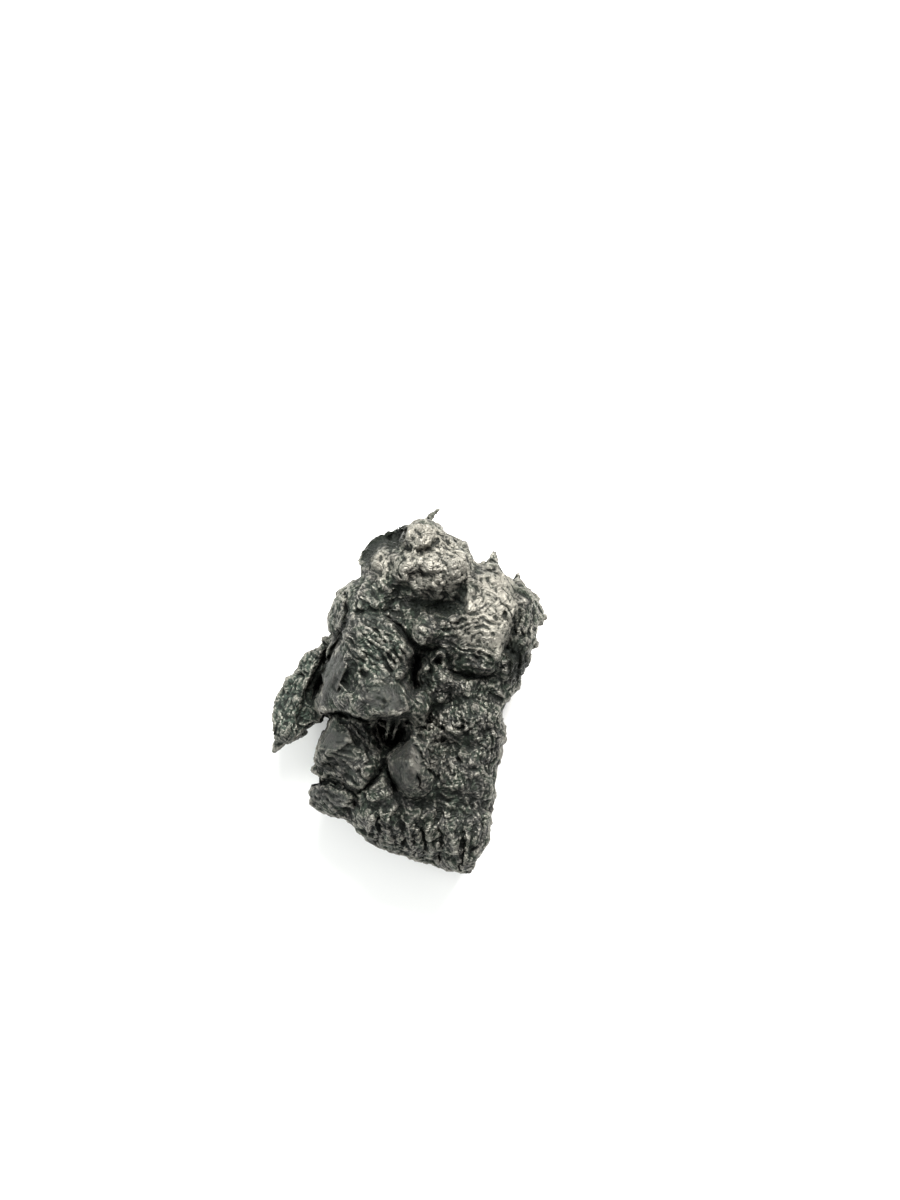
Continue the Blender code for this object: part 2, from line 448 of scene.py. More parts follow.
@dataclass
class Sculptor:
    """Works one mesh object."""

    obj: bpy.types.Object
    noise: Noise = field(default_factory=lambda: Noise(SEED))

    def points(self) -> np.ndarray:
        """The mesh's points, in millimetres."""
        flat = np.empty(len(self.obj.data.vertices) * 3)
        self.obj.data.vertices.foreach_get("co", flat)
        return flat.reshape(-1, 3) / MM

    def normals(self) -> np.ndarray:
        """The mesh's vertex normals."""
        flat = np.empty(len(self.obj.data.vertices) * 3)
        self.obj.data.vertex_normals.foreach_get("vector", flat)
        return flat.reshape(-1, 3)

    def edges(self) -> np.ndarray:
        """The mesh's edges, as pairs of point numbers."""
        flat = np.empty(len(self.obj.data.edges) * 2, np.int32)
        self.obj.data.edges.foreach_get("vertices", flat)
        return flat.reshape(-1, 2)

    def put(self, points: np.ndarray) -> None:
        """Moves the mesh's points, given in millimetres."""
        self.obj.data.vertices.foreach_set("co", (points * MM).ravel())
        self.obj.data.update()

    def facing(self) -> np.ndarray:
        """How much each point faces out of the face, from 0 to 1."""
        return smoothstep(0.02, 0.42, self.normals()[:, 2])

    def wobbled(self, size: float, sway: float) -> np.ndarray:
        """Each point's x and y, swayed by a smooth noise, so that a tool's path isn't too even.

        Args:
            size: the size of the sway's waves, in millimetres.
            sway: how far it goes, in millimetres.

        Returns:
            x and y of each point.
        """
        points = self.points()
        drift = [self.noise.waves(points / size + shift) for shift in (3.3, 58.1)]
        return points[:, :2] + sway * np.stack(drift, axis=1)

    def smooth(self, times: int, factor: float) -> None:
        """Evens the mesh out."""
        soften = self.obj.modifiers.new("soften", "SMOOTH")
        soften.iterations = times
        soften.factor = factor
        apply_modifier(self.obj, soften)

    def refine(self, voxel: float, times: int = 1, factor: float = 0.4) -> None:
        """Rebuilds the skin with faces of the voxel's size, in millimetres, and evens it out."""
        remesh = self.obj.modifiers.new("skin", "REMESH")
        remesh.mode = "VOXEL"
        remesh.voxel_size = voxel * MM
        apply_modifier(self.obj, remesh)
        self.smooth(times, factor)

    def work(self, tools: Tools, sway: float, size: float = 1.6) -> None:
        """Lifts the face by each tool's lift.

        Args:
            tools: the forms and strokes.
            sway: how far their paths wobble, in millimetres.
            size: the size of the wobble, in millimetres.
        """
        places = self.wobbled(size, sway)
        points = self.points()
        stir = 0.6 * self.noise.waves(points / 2.1 + 7.7) + 0.25 * self.noise.waves(points / 0.9 + 2.9)
        lift = np.zeros(len(places))
        for tool in tools:
            lift += tool.lift(places, stir)
        points[:, 2] += lift * self.facing()
        self.put(points)

    def zone_weights(self) -> dict[str, np.ndarray]:
        """Each point's weight in each zone of the crust, in its sides, and in all of it."""
        places = self.wobbled(4.0, 1.2)
        facing = self.facing()
        weights = {name: np.zeros(len(places)) for (name, *_), _ in rows(ZONES)}
        for (name, *settings), points in rows(ZONES):
            spot = Dab(*points, 1.0, *map(float, settings))
            weights[name] = np.maximum(weights[name], spot.share(places))
        weights = {name: weight * facing for name, weight in weights.items()}
        smooth = np.maximum(weights["drape"], weights["lip"])
        grooved = np.maximum(weights["foot"], weights["plateau"])
        plain = 1.0 - 0.7 * np.maximum(smooth, 0.9 * grooved)
        above = 0.3 + 0.7 * smoothstep(0.0, 6.0, self.points()[:, 2])
        return weights | {"": plain, "sides": (1.0 - facing) * above, "face": facing * plain}

    def roughen(self, grains: tuple[Grain, ...]) -> None:
        """Roughens the crust with each grain in turn."""
        weights = self.zone_weights()
        for grain in grains:
            points = self.points()
            lift = weights[grain.zone] * (grain.lift(points, self.noise) - grain.sunk)
            self.put(points + lift[:, None] * self.normals())

    def stands_out(self) -> list[np.ndarray]:
        """How far each point stands out of the crust round it, from 0 to 1, for each of RELIEFS."""
        points, normals, edges = self.points(), self.normals(), self.edges()
        count = len(points)
        degree = np.bincount(edges.ravel(), minlength=count)[:, None]
        upward = 0.4 + 0.6 * smoothstep(-0.3, 0.2, normals[:, 2])
        even = points.copy()
        found = []
        for times, full in RELIEFS:
            for _ in range(times):
                total = np.empty_like(even)
                for axis in range(3):
                    total[:, axis] = np.bincount(edges[:, 0], even[edges[:, 1], axis], count)
                    total[:, axis] += np.bincount(edges[:, 1], even[edges[:, 0], axis], count)
                even = 0.4 * even + 0.6 * total / degree
            out = ((points - even) * normals).sum(1) * upward
            found.append(np.clip(0.5 + 0.5 * out / full, 0.0, 1.0))
        return found

    def write(self, name: str, *channels: np.ndarray) -> None:
        """Writes three values of each point as a colour attribute."""
        layer = self.obj.data.color_attributes.new(name=name, type="FLOAT_COLOR", domain="POINT")
        colours = np.stack([*channels, np.ones(len(channels[0]))], axis=1)
        layer.data.foreach_set("color", colours.astype(np.float32).ravel())


# --- the stone ---


@dataclass
class Stone:
    """The stone, worked from its largest forms to its finest grain. Sizes are millimetres.

    Attributes:
        name: the name of its piece.
        node: the CAD node it starts from.
        merged: points nearer to each other than this become one.
        soft_voxel: the faces of the softened body. form_voxel, fold_voxel and crust_voxel are those of the
            later stages.
        swell: how far the sides swell, because softening shrinks them.
        horn_sides: the sides of a horn's cone.
        sunk: how deep the foot of a chunk is sunk in the body.
        above: a height over all of the stone, from which a ray finds the face.
        rim_level: the height of the face where the ray finds none.
        cutter_depth: the depth of the cutter that trims the outline.
        most_triangles: what the mesh is thinned to.
        thinning: the share of most_triangles that the thinning aims at.
        spare: how far the crust may leave the CAD box, in shares of the box's sides.
    """

    name: str = "meteorite_crust"
    node: str = "meteorite"
    merged: float = 0.01
    soft_voxel: float = 0.55
    form_voxel: float = 0.36
    fold_voxel: float = 0.25
    crust_voxel: float = 0.2
    swell: float = 0.7
    horn_sides: int = 9
    sunk: float = 2.0
    above: float = 60.0
    rim_level: float = 8.0
    cutter_depth: float = 60.0
    most_triangles: int = 196_000
    thinning: float = 0.98
    spare: float = 0.025

    def build(self) -> bpy.types.Object:
        """Builds the stone.

        Returns:
            The finished mesh object, at the origin.
        """
        obj = self.rough_body()
        hand = Sculptor(obj)
        hand.work(FORMS, sway=0.5, size=3.0)
        self.fuse(obj, HORNS, CHUNKS)
        hand.refine(self.form_voxel, factor=0.5)
        hand.roughen(CHIPS)
        self.trim(obj)
        hand.refine(self.form_voxel)
        hand.roughen(FLANKS)
        hand.refine(self.fold_voxel)
        hand.work(FOLDS, sway=0.4)
        self.fuse(obj, SPURS, SLABS)
        hand.refine(self.crust_voxel)
        hand.work(CLEFTS, sway=0.5, size=1.1)
        self.thin(hand)
        hand.roughen(GRAINS)
        self.keep_in_box(hand)
        self.measure(hand)
        obj.vertex_groups.clear()
        obj.data.materials.clear()
        obj.data.shade_smooth()
        return obj

    def rough_body(self) -> bpy.types.Object:
        """The CAD form, merged, softened and a little swollen at its sides."""
        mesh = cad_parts[self.node].data.copy()
        mesh.materials.clear()
        obj = bpy.data.objects.new(self.name, mesh)
        mesh.name = self.name
        bpy.context.scene.collection.objects.link(obj)
        with editing(obj):
            bpy.ops.mesh.remove_doubles(threshold=self.merged * MM)
        hand = Sculptor(obj)
        hand.refine(self.soft_voxel, times=4, factor=0.5)
        points = hand.points()
        normals = hand.normals()
        points[:, :2] += self.swell * normals[:, :2] * (1.0 - np.abs(normals[:, 2:]))
        hand.put(points)
        return obj

    def cone(self, horn: Horn) -> bpy.types.Object:
        """Makes a horn."""
        run = Vector(horn.tip) - Vector(horn.root)
        middle = (Vector(horn.tip) + Vector(horn.root)) / 2
        bpy.ops.object.select_all(action="DESELECT")
        bpy.ops.mesh.primitive_cone_add(
            vertices=self.horn_sides,
            radius1=horn.root_radius * MM,
            radius2=horn.tip_radius * MM,
            depth=run.length * MM,
            location=middle * MM,
            rotation=run.to_track_quat("Z", "Y").to_euler(),
        )
        return bpy.context.active_object

    def chunk(self, corners: Path, body: bpy.types.Object) -> bpy.types.Object:
        """Makes a faceted chunk whose top follows the body's face.

        Args:
            corners: the corners of its top: x, y, and height over the face.
            body: what it is set on.

        Returns:
            The chunk, as the convex hull of its top and of a foot sunk in the body.
        """
        points = []
        for x, y, height in corners:
            hit, place, _, _ = body.ray_cast(Vector((x, y, self.above)) * MM, Vector((0.0, 0.0, -1.0)))
            level = place.z / MM if hit else self.rim_level
            for z in (level + height, level - self.sunk):
                points.append(tuple(Vector((x, y, z)) * MM))
        chunk = new_object("chunk", points, [])
        with editing(chunk):
            bpy.ops.mesh.convex_hull()
        return chunk

    def fuse(self, body: bpy.types.Object, cones: tuple[Horn, ...], chunks: str) -> None:
        """Sets horns and chunks on the body and joins them to it; the next refining fuses them."""
        parts = [self.cone(horn) for horn in cones] + [self.chunk(top, body) for _, top in rows(chunks)]
        bpy.ops.object.select_all(action="DESELECT")
        for part in [*parts, body]:
            part.select_set(True)
        bpy.context.view_layer.objects.active = body
        bpy.ops.object.join()

    def trim(self, obj: bpy.types.Object) -> None:
        """Trims the stone to its outline with an upright cutter."""
        low = -self.cutter_depth / 2 * MM
        rim = [(x * MM, y * MM, low) for _, points in rows(OUTLINE) for x, y in points]
        cutter = new_object("cutter", rim, [tuple(range(len(rim)))])
        rise = (0.0, 0.0, self.cutter_depth * MM)
        with editing(cutter):
            bpy.ops.mesh.extrude_region_move(TRANSFORM_OT_translate={"value": rise})
            bpy.ops.mesh.select_all(action="SELECT")
            bpy.ops.mesh.normals_make_consistent(inside=False)
        cut = obj.modifiers.new("trim", "BOOLEAN")
        cut.operation = "INTERSECT"
        cut.object = cutter
        cut.solver = "MANIFOLD"
        apply_modifier(obj, cut)
        bpy.data.objects.remove(cutter)

    def thin(self, hand: Sculptor) -> None:
        """Thins the mesh to its number of triangles, first the sides and the back, and then all of it."""
        before = triangles(hand.obj)
        sides = hand.obj.vertex_groups.new(name="sides")
        sides.add(np.flatnonzero(1.0 - hand.facing() > 0.5).tolist(), 1.0, "REPLACE")
        for group in ("sides", "sides", ""):
            if triangles(hand.obj) <= self.most_triangles:
                break
            decimate = hand.obj.modifiers.new("thin", "DECIMATE")
            decimate.ratio = self.thinning * self.most_triangles / triangles(hand.obj)
            decimate.vertex_group = group
            apply_modifier(hand.obj, decimate)
        log.info("crust: %d triangles before, %d after", before, triangles(hand.obj))

    def keep_in_box(self, hand: Sculptor) -> None:
        """Keeps the crust inside the CAD box, and ground flat where it rests."""
        low, high = (np.array(corner) / MM for corner in CAD_BOX)
        spare = self.spare * (high - low)
        points = hand.points()
        points[:, :2] = np.clip(points[:, :2], (low - spare)[:2], (high + spare)[:2])
        points[:, 2] = np.clip(points[:, 2], 0.0, high[2] + spare[2])
        hand.put(points)

    def measure(self, hand: Sculptor) -> None:
        """Writes what the material reads: relief, kind of crust with painted light, and marks of painted
        shade and light.
        """
        zones = hand.zone_weights()
        # painted light: the crown and plateau, which face the lamp, are painted paler and warmer
        pale = np.maximum(zones["crown"], zones["plateau"])
        green = np.maximum(zones["wing"], 0.7 * zones["cheek"])
        satin = np.maximum(np.maximum(zones["drape"], zones["lip"]), 0.7 * zones["lobe"])
        # painted shade where shade falls in the recesses, and painted light where the crust faces the lamp,
        # laid on from the marks
        places = hand.wobbled(1.6, 0.35)
        still = np.zeros(len(places))
        painted_shading = still.copy()
        for tool in PAINTED_SHADING_MARKS:
            painted_shading += tool.lift(places, still)
        painted_shading = np.clip(0.5 + 0.5 * painted_shading * smoothstep(-0.5, 0.0, hand.normals()[:, 2]), 0.0, 1.0)
        # the material paints shade where the relief is low and highlights where it is high
        hand.write("relief", *hand.stands_out())
        hand.write("crust", pale, green, satin)
        hand.write("painted_shading", painted_shading, painted_shading, painted_shading)


# For the fine, the middle and the broad relief: how often the mesh is evened out since the last one, and the
# height that counts as full, in millimetres.
RELIEFS = ((4, 0.07), (20, 0.32), (136, 1.5))

# The outline that the cutter trims the stone to, seen from the front: points going clockwise from the crown.
OUTLINE = """
crown: -0.3,25.8 0.6,26.1 1.8,26.2 2.6,26.3 3.2,26.7 3.9,27.2 4.7,27.6 4.3,26.6 3.6,26 3.6,25.4 4.2,25.1
crown: 4.9,25.1 5.3,24.5 5.6,24 6.1,23.6 6.4,23 7.2,22.9 7.9,23.1 8.6,22.9 9.1,22.5 9,21.8
plateau: 9.4,21.2 9.7,20.6 9.8,19.8 9.9,19.2 10.6,19.2 11.2,19.3 11.5,19.8 12,20.4 12.6,20.6 13,21.1
plateau: 13.4,20.6 13.6,19.9 13.6,19 13.9,18.4 14.6,17.9 15.2,17.5 15.7,17.1 16,16.8 16.2,17.4 16.6,17.9
plateau: 16.9,17.7 17.1,17 17.6,16.4 18.1,15.8 18.6,15 19.3,14.5 19.8,14 20.1,13.2 20.3,12.2 20.9,11.8
plateau: 21.1,11.3 20.4,11 20.1,10.3 19.7,9.9 19.6,9.2 19.3,8.8 19.4,8.2 19.7,7.6 19.7,6.9 19.1,6.5 18.5,6.6
plateau: 18.3,6 18.3,5.2 18,4.5 17.6,4 17.2,3.4 16.9,2.9 17,2.2 17.2,1.6 17.3,1
column: 16.6,0.6 16.1,0.1 15.6,-0.6 15.1,-1.2 14.6,-1.6 14.3,-1.9 14.2,-2.6 14.2,-3.4 14.3,-4.2 14.6,-4.8
column: 15,-5.4 15,-6.2 14.7,-6.9 14.3,-7.6 14.1,-8.2 14.2,-8.9 14.1,-9.6 13.7,-10.3 13.2,-10.5 13.1,-11.4
column: 13.2,-12.4 13.1,-13.4 13,-14.2 13.1,-14.9 13.3,-15.5 13.1,-16.1 12.6,-16.6 12.4,-17.4 12.6,-18.4
column: 12.6,-19.6 12.6,-20.8 12.5,-21.8
foot: 12.2,-22.7 11.7,-23.2 11.4,-23.7 10.9,-24.1 10.5,-24.5 10.5,-25.2 10.2,-25.6 9.8,-25.9 9.9,-26.6
foot: 9.6,-27.1 8.6,-27.3 7.4,-27.2 6.6,-27 5.6,-26.9 4.8,-26.6 3.8,-26.2 2.8,-25.9 1.9,-25.6 1,-25.3
foot: 0.2,-25 -0.6,-24.7 -1.6,-24.3 -2.6,-24 -3.6,-23.8 -4.6,-23.4 -5.4,-23.1 -6,-22.6 -6.6,-22 -7,-21.4
foot: -7.4,-20.8 -8,-20.3 -8.6,-19.9 -9.1,-19.5 -9,-19 -8.7,-18.8
hoof: -9.5,-18.7 -10.3,-19 -11,-18.8 -11.8,-18.6 -12.6,-18.4 -13.4,-18.2 -13.9,-17.7 -14.2,-17.2 -14.8,-17.1
hoof: -15,-16.6 -15,-16 -15.2,-15.3 -15.2,-14.6 -15,-14.1 -14.3,-14 -13.7,-13.8 -13.2,-13.2 -13,-12.8
lobe: -13.6,-12.5 -14.1,-12.2 -14.3,-11.7 -14.1,-11.2 -14,-10.4 -14.2,-9.8 -14,-9 -14.1,-8.2 -13.8,-7.5
lobe: -13.3,-6.8 -12.7,-6.2 -12.1,-5.7 -11.8,-5.3 -11.7,-4.6 -11.7,-4 -11.2,-3.9 -10.5,-3.9 -10.3,-3.6
wing: -10.8,-3.3 -11.4,-3.3 -12,-3.1 -12.7,-3.4 -12.9,-3.9 -13.3,-4.6 -14.1,-4.6 -14.7,-4.9 -15.2,-5.3
wing: -15.8,-6 -16.2,-6.8 -16.8,-7.2 -17.6,-7.7 -18.4,-8.1 -19.1,-8.6 -19.6,-9.1 -20.1,-9.2 -20.5,-8.8
wing: -20.4,-8.3 -20.3,-7.6 -20.5,-6.8 -20.7,-5.6 -20.5,-4.8 -20.8,-4 -20.8,-3.2 -20.5,-2.4 -20.2,-1.4
wing: -19.9,-0.6 -19.4,0 -18.8,0.6 -18.4,1.3 -18,2 -17.4,3 -17,3.8 -16.5,4.8 -16.2,5.5 -15.8,6.1 -15.2,6.5
wing: -14.4,6.8
temple: -13.6,7 -13.2,7.3 -13.2,8 -12.6,8.3 -12,8.1 -11.6,8 -11.2,8.4 -11,8.8 -11.6,9.4 -11.7,10 -11.6,10.5
temple: -11.1,11.1 -11.2,11.8 -11.2,12.6 -10.9,13.4 -10.7,14.2 -10.6,14.9 -10.3,15.4 -9.6,15.7 -8.9,15.8
crown: -8.6,16.5 -8,16.7 -7.4,16.5 -7,17 -6.8,17.8 -6.9,18.8 -7,19.8 -7,20.6 -6.9,21.2 -6.4,21.8 -5.8,22.4
crown: -5,23 -4.2,23.4 -3.4,24 -2.6,24.5 -1.8,25.1 -1,25.5
"""

# Chunks are rows of corners: x, y, and height over the face. The word is only where they sit.
CHUNKS = """
boulder: 0.3,-6.9,0.7 1.4,-9,2 1.7,-11.4,2.2 0.6,-13,1.6 -0.9,-14.5,0.5 -2.4,-12,0.9 -2.6,-9.5,0.9 \
    -0.8,-9.6,1.8 2.9,-10.4,0.8
boulder: 2.6,-11.4,1 4.1,-11.9,0.8 4,-13.7,0.6 1.6,-14.8,0.5 1,-13.2,1
lip: -7.2,2.7,0.4 -4,2.2,1 -0.5,1.4,1.1 0.4,-2.3,0.9 -2.4,-2.9,1.3 -4.8,-2.9,1 -5.2,-0.8,0.8
drape: -13.9,-0.8,0.4 -11,0.4,0.7 -8,0,0.7 -6.6,-2.6,0.7 -10,-2.3,0.8 -14,-2.5,0.4
drape: -10.2,7.6,0.4 -8.2,6.4,0.7 -8.2,3.6,0.8 -11,1.6,0.7 -13,1.4,0.3 -11.6,5,0.4
crown: -0.6,20.8,0.5 1.4,21,0.8 2.2,19.4,0.9 1,18.2,0.8 -0.6,18.6,0.5
crown: 2.6,20.6,0.6 4.6,20.8,0.8 5.6,19.2,0.7 4.4,18.2,0.7 2.8,18.6,0.8
crown: 1.2,17.2,0.6 3.2,17.4,0.8 5.2,16.8,0.7 4.4,15.6,0.5 1.8,15.8,0.6
crown: 5.8,20.4,0.4 8,20.6,0.5 8.6,18,0.5 6.6,17.4,0.6
crown: -4.4,21.4,0.3 -2.2,21.8,0.5 -1.4,19.6,0.7 -3.2,18.6,0.6 -4.6,19.6,0.4
temple: -5.4,17.2,0.3 -2.6,17.6,0.5 -1.6,16.2,0.5 -4,15.4,0.6
temple: -7.4,15.6,0.4 -4.8,15.8,0.6 -4.4,13.4,0.6 -7.2,13,0.5
temple: -10.8,15,0.3 -9.4,15.4,0.5 -9.2,12.6,0.6 -9.5,10,0.4 -11.3,10,0.1
cheek: 0.2,10.4,0.5 1.6,10.7,0.9 4.2,9.2,0.7 4.4,7.8,0.3 2.6,7.5,0.8
plateau: 9.7,17.8,0.2 13,18,0.7 15.7,15.2,0.5 16.3,12.4,0.4 14.6,9.2,0.6 11.6,8.2,0.7 9.4,11.6,0.5
flank: 17,14.4,0.5 19,13.6,0.3 19.2,10.4,0.3 17.4,9.2,0.6
flank: 18.2,8.8,0.3 19.1,7.4,0.2 17.8,5.8,0.3 16.6,7.4,0.5
flank: 15.2,4.8,0.5 17,4.2,0.2 16.4,1.6,0.2 14.6,0.4,0.5 14.2,2.8,0.6
flank: 12.2,-2.6,0.5 13.6,-3.2,0.2 14.2,-5.8,0.2 13.4,-9.2,0.2 12,-8.2,0.5
lobe: -12.6,-6.4,0.4 -11.2,-4.8,0.3 -9,-4.8,0.8 -7.9,-6.2,0.9 -8.8,-8.2,0.8 -11.6,-8.8,0.7 -13.4,-8,0.3
lobe: -7.6,-9.8,0.7 -5.6,-9.4,0.9 -4.6,-11,0.8 -5.6,-13,0.6 -8,-12.2,0.7
lobe: -9.9,-12.4,0.4 -7.4,-12.6,0.7 -7.2,-14,0.6 -9,-13.4,0.5
mouth: -5.2,-7,0.7 -3.9,-6.8,1 -3.4,-8.6,0.9 -4.8,-9.4,0.7
hoof: -14.9,-14.5,0.5 -13,-13.8,0.8 -10,-14,0.9 -8,-15.2,0.7 -7.8,-16.8,0.6 -11,-16.9,0.8 -14.6,-16.7,0.4
hoof: -13.6,-17.4,0.3 -11,-17.3,0.6 -9,-17.6,0.5 -9.4,-18.5,0.2 -11.8,-18.3,0.3
foot: -4.2,-14.6,0.5 -2,-14.6,0.6 -1.6,-15.9,0.5 -3.6,-16,0.6
foot: -8.6,-19.3,0.2 -6.8,-17.6,0.8 -4.9,-18,0.9 -4.2,-20.6,0.7 -5.6,-22.4,0.2
foot: -4.4,-17.2,0.7 -2.4,-17.3,0.9 -1.2,-20,0.9 -2.2,-23.2,0.3 -3.9,-22.2,0.4
foot: -0.9,-18.8,0.7 1,-19.4,0.9 1.8,-22.4,0.7 0.6,-24.4,0.2 -0.8,-23.2,0.4
foot: 2.2,-19.6,0.6 4.4,-19.4,0.9 5,-22.4,0.7 3.8,-25.4,0.2 2.2,-24.2,0.4
foot: 5.4,-19.4,0.6 7.6,-19.2,0.9 8,-22.6,0.7 7,-26,0.2 5.3,-25.2,0.4
foot: 8.5,-19,0.6 11.6,-18.4,0.5 11.8,-21.6,0.4 9.4,-25.6,0.2 8.4,-23.4,0.5
foot: 0.2,-16.8,0.5 4.6,-16.7,0.7 4.2,-18.2,0.6 0.8,-18.7,0.6
wing: -15.6,5.6,0.2 -13.4,6.4,0.4 -13.8,3.2,0.6 -15.4,0.4,0.6 -17,2.6,0.2
wing: -17.6,1.6,0.3 -15.6,0.4,0.6 -15.9,-3.4,0.5 -18,-4.4,0.5 -19.8,-2,0.2
wing: -19.8,-3.4,0.3 -17.4,-4.2,0.6 -16.6,-6.4,0.3 -19,-7.8,0.3 -20.1,-6.6,0.2
"""

SLABS = """
boulder: 0.3,-6.9,0.4 2.9,-9.6,0.4 2.7,-12,0.5 0.2,-13.6,0.5 -0.2,-9.4,1
boulder: 0.2,-7,0.3 -0.2,-9.4,1 0.1,-13.6,0.5 -1,-14.4,0.2 -2.4,-12,0.5 -2.6,-9.5,0.5
boulder: 2.6,-11.8,0.4 4.1,-11.9,0.3 4,-13.6,0.3 1.8,-14.6,0.3 1,-13.6,0.5
lip: -7,2.6,0.3 -3.6,2.3,0.5 -3,-0.5,0.6 -5.4,-0.5,0.4
lip: -3.6,2.2,0.5 -0.5,1.4,0.4 0.5,-2.3,0.3 -2.4,-2.9,0.5 -2.9,-0.6,0.6
lip: -3.2,-1.2,0.4 -2.5,-2.9,0.5 -4.9,-3,0.3 -5.6,-1.2,0.4
drape: -10,7.2,0.3 -8.6,4.4,0.5 -10.2,0.6,0.6 -11.8,4.4,0.3
drape: -9.8,1.8,0.5 -7.8,-0.2,0.5 -8,-2.4,0.5 -13.6,-2.3,0.3 -13,1,0.2
lobe: -12.8,-6.6,0.2 -11,-5.2,0.3 -8.6,-5.2,0.4 -8,-6.8,0.6 -10.4,-8.4,0.5 -12.8,-8.2,0.3
lobe: -8.4,-7.6,0.4 -6.6,-7.4,0.4 -5.6,-9.6,0.6 -7.4,-11.2,0.4 -9.4,-9.6,0.4
lobe: -6.6,-10.8,0.4 -5.2,-10.6,0.5 -4.7,-12.2,0.4 -6.2,-13.4,0.4
hoof: -14.9,-14.6,0.2 -11.6,-13.8,0.5 -8.4,-14.8,0.5 -8.6,-15.9,0.4 -14.7,-15.5,0.3
hoof: -14.5,-16,0.3 -8.8,-16.3,0.5 -9.6,-17.2,0.3 -13.6,-17.2,0.2
foot: -8.4,-19.2,0.2 -6.6,-17.6,0.6 -5.2,-19,0.6 -5.6,-22,0.2
foot: -3.9,-17.6,0.5 -2.4,-17.6,0.7 -1.6,-20.6,0.6 -2.8,-22.8,0.2
foot: 0.4,-19.6,0.6 1.8,-20,0.5 1.6,-23.4,0.3 0.2,-23.6,0.2
foot: 5.8,-19.6,0.5 7.2,-19.4,0.6 7.4,-23.4,0.4 6,-24.6,0.2
"""

HORNS = horns("""
1.5 0.55: 12.4,17.6,14.6 13.1,21.2,15
0.9 0.5: 11.6,17.8,14 12,20.2,14.2
0.9 0.5: 16.5,15.4,12.6 16.7,18,13
1.2 0.5: 18.8,11.2,12 21.1,11.4,12.4
1.2 0.6: 18,7.6,11 19.8,7.1,11.2
1.1 0.5: 15.6,1.6,11 17.4,1.1,11.2
1.1 0.7: -7.6,15.4,12.6 -8.2,16.9,12.8
1.2 0.8: -9.2,14,12 -10.2,15.5,12.2
1.2 0.8: -10.2,10.2,10.6 -11.7,10.2,10.8
1 0.7: -11.9,6.8,8 -12.9,8.3,8.2
1.4 0.8: -14.4,4.4,8 -16,5.8,8.2
1.2 0.5: -19,-7.2,7.5 -20.3,-9.2,7.5
1.2 0.9: -13.6,-14.8,8 -15.2,-14.9,8.2
1.3 0.8: 6.8,21.6,15 8.4,23,15
""")

SPURS = horns("""
0.8 0.45: 2.8,25.2,15 3.7,26.6,15.2
0.5 0.15: 3.5,26.3,15.1 4.8,27.5,15.4
0.6 0.25: 4,23.6,15.8 4.3,25.2,16
0.55 0.25: 4.7,23.4,15.8 5.2,24.9,16
0.8 0.3: 12.6,19.4,14.8 13.1,21.2,15
0.7 0.3: 16.4,16.4,12.8 16.7,17.9,13
0.9 0.4: 19.6,11.3,12.2 21,11.4,12.4
0.7 0.3: -19.7,-8.2,7.5 -20.4,-9.2,7.5
0.42 0.22: -2.2,-3,22.6 -3,-6.6,20.2
0.32 0.18: -0.9,-3,22.6 -2.1,-6.8,20
""")

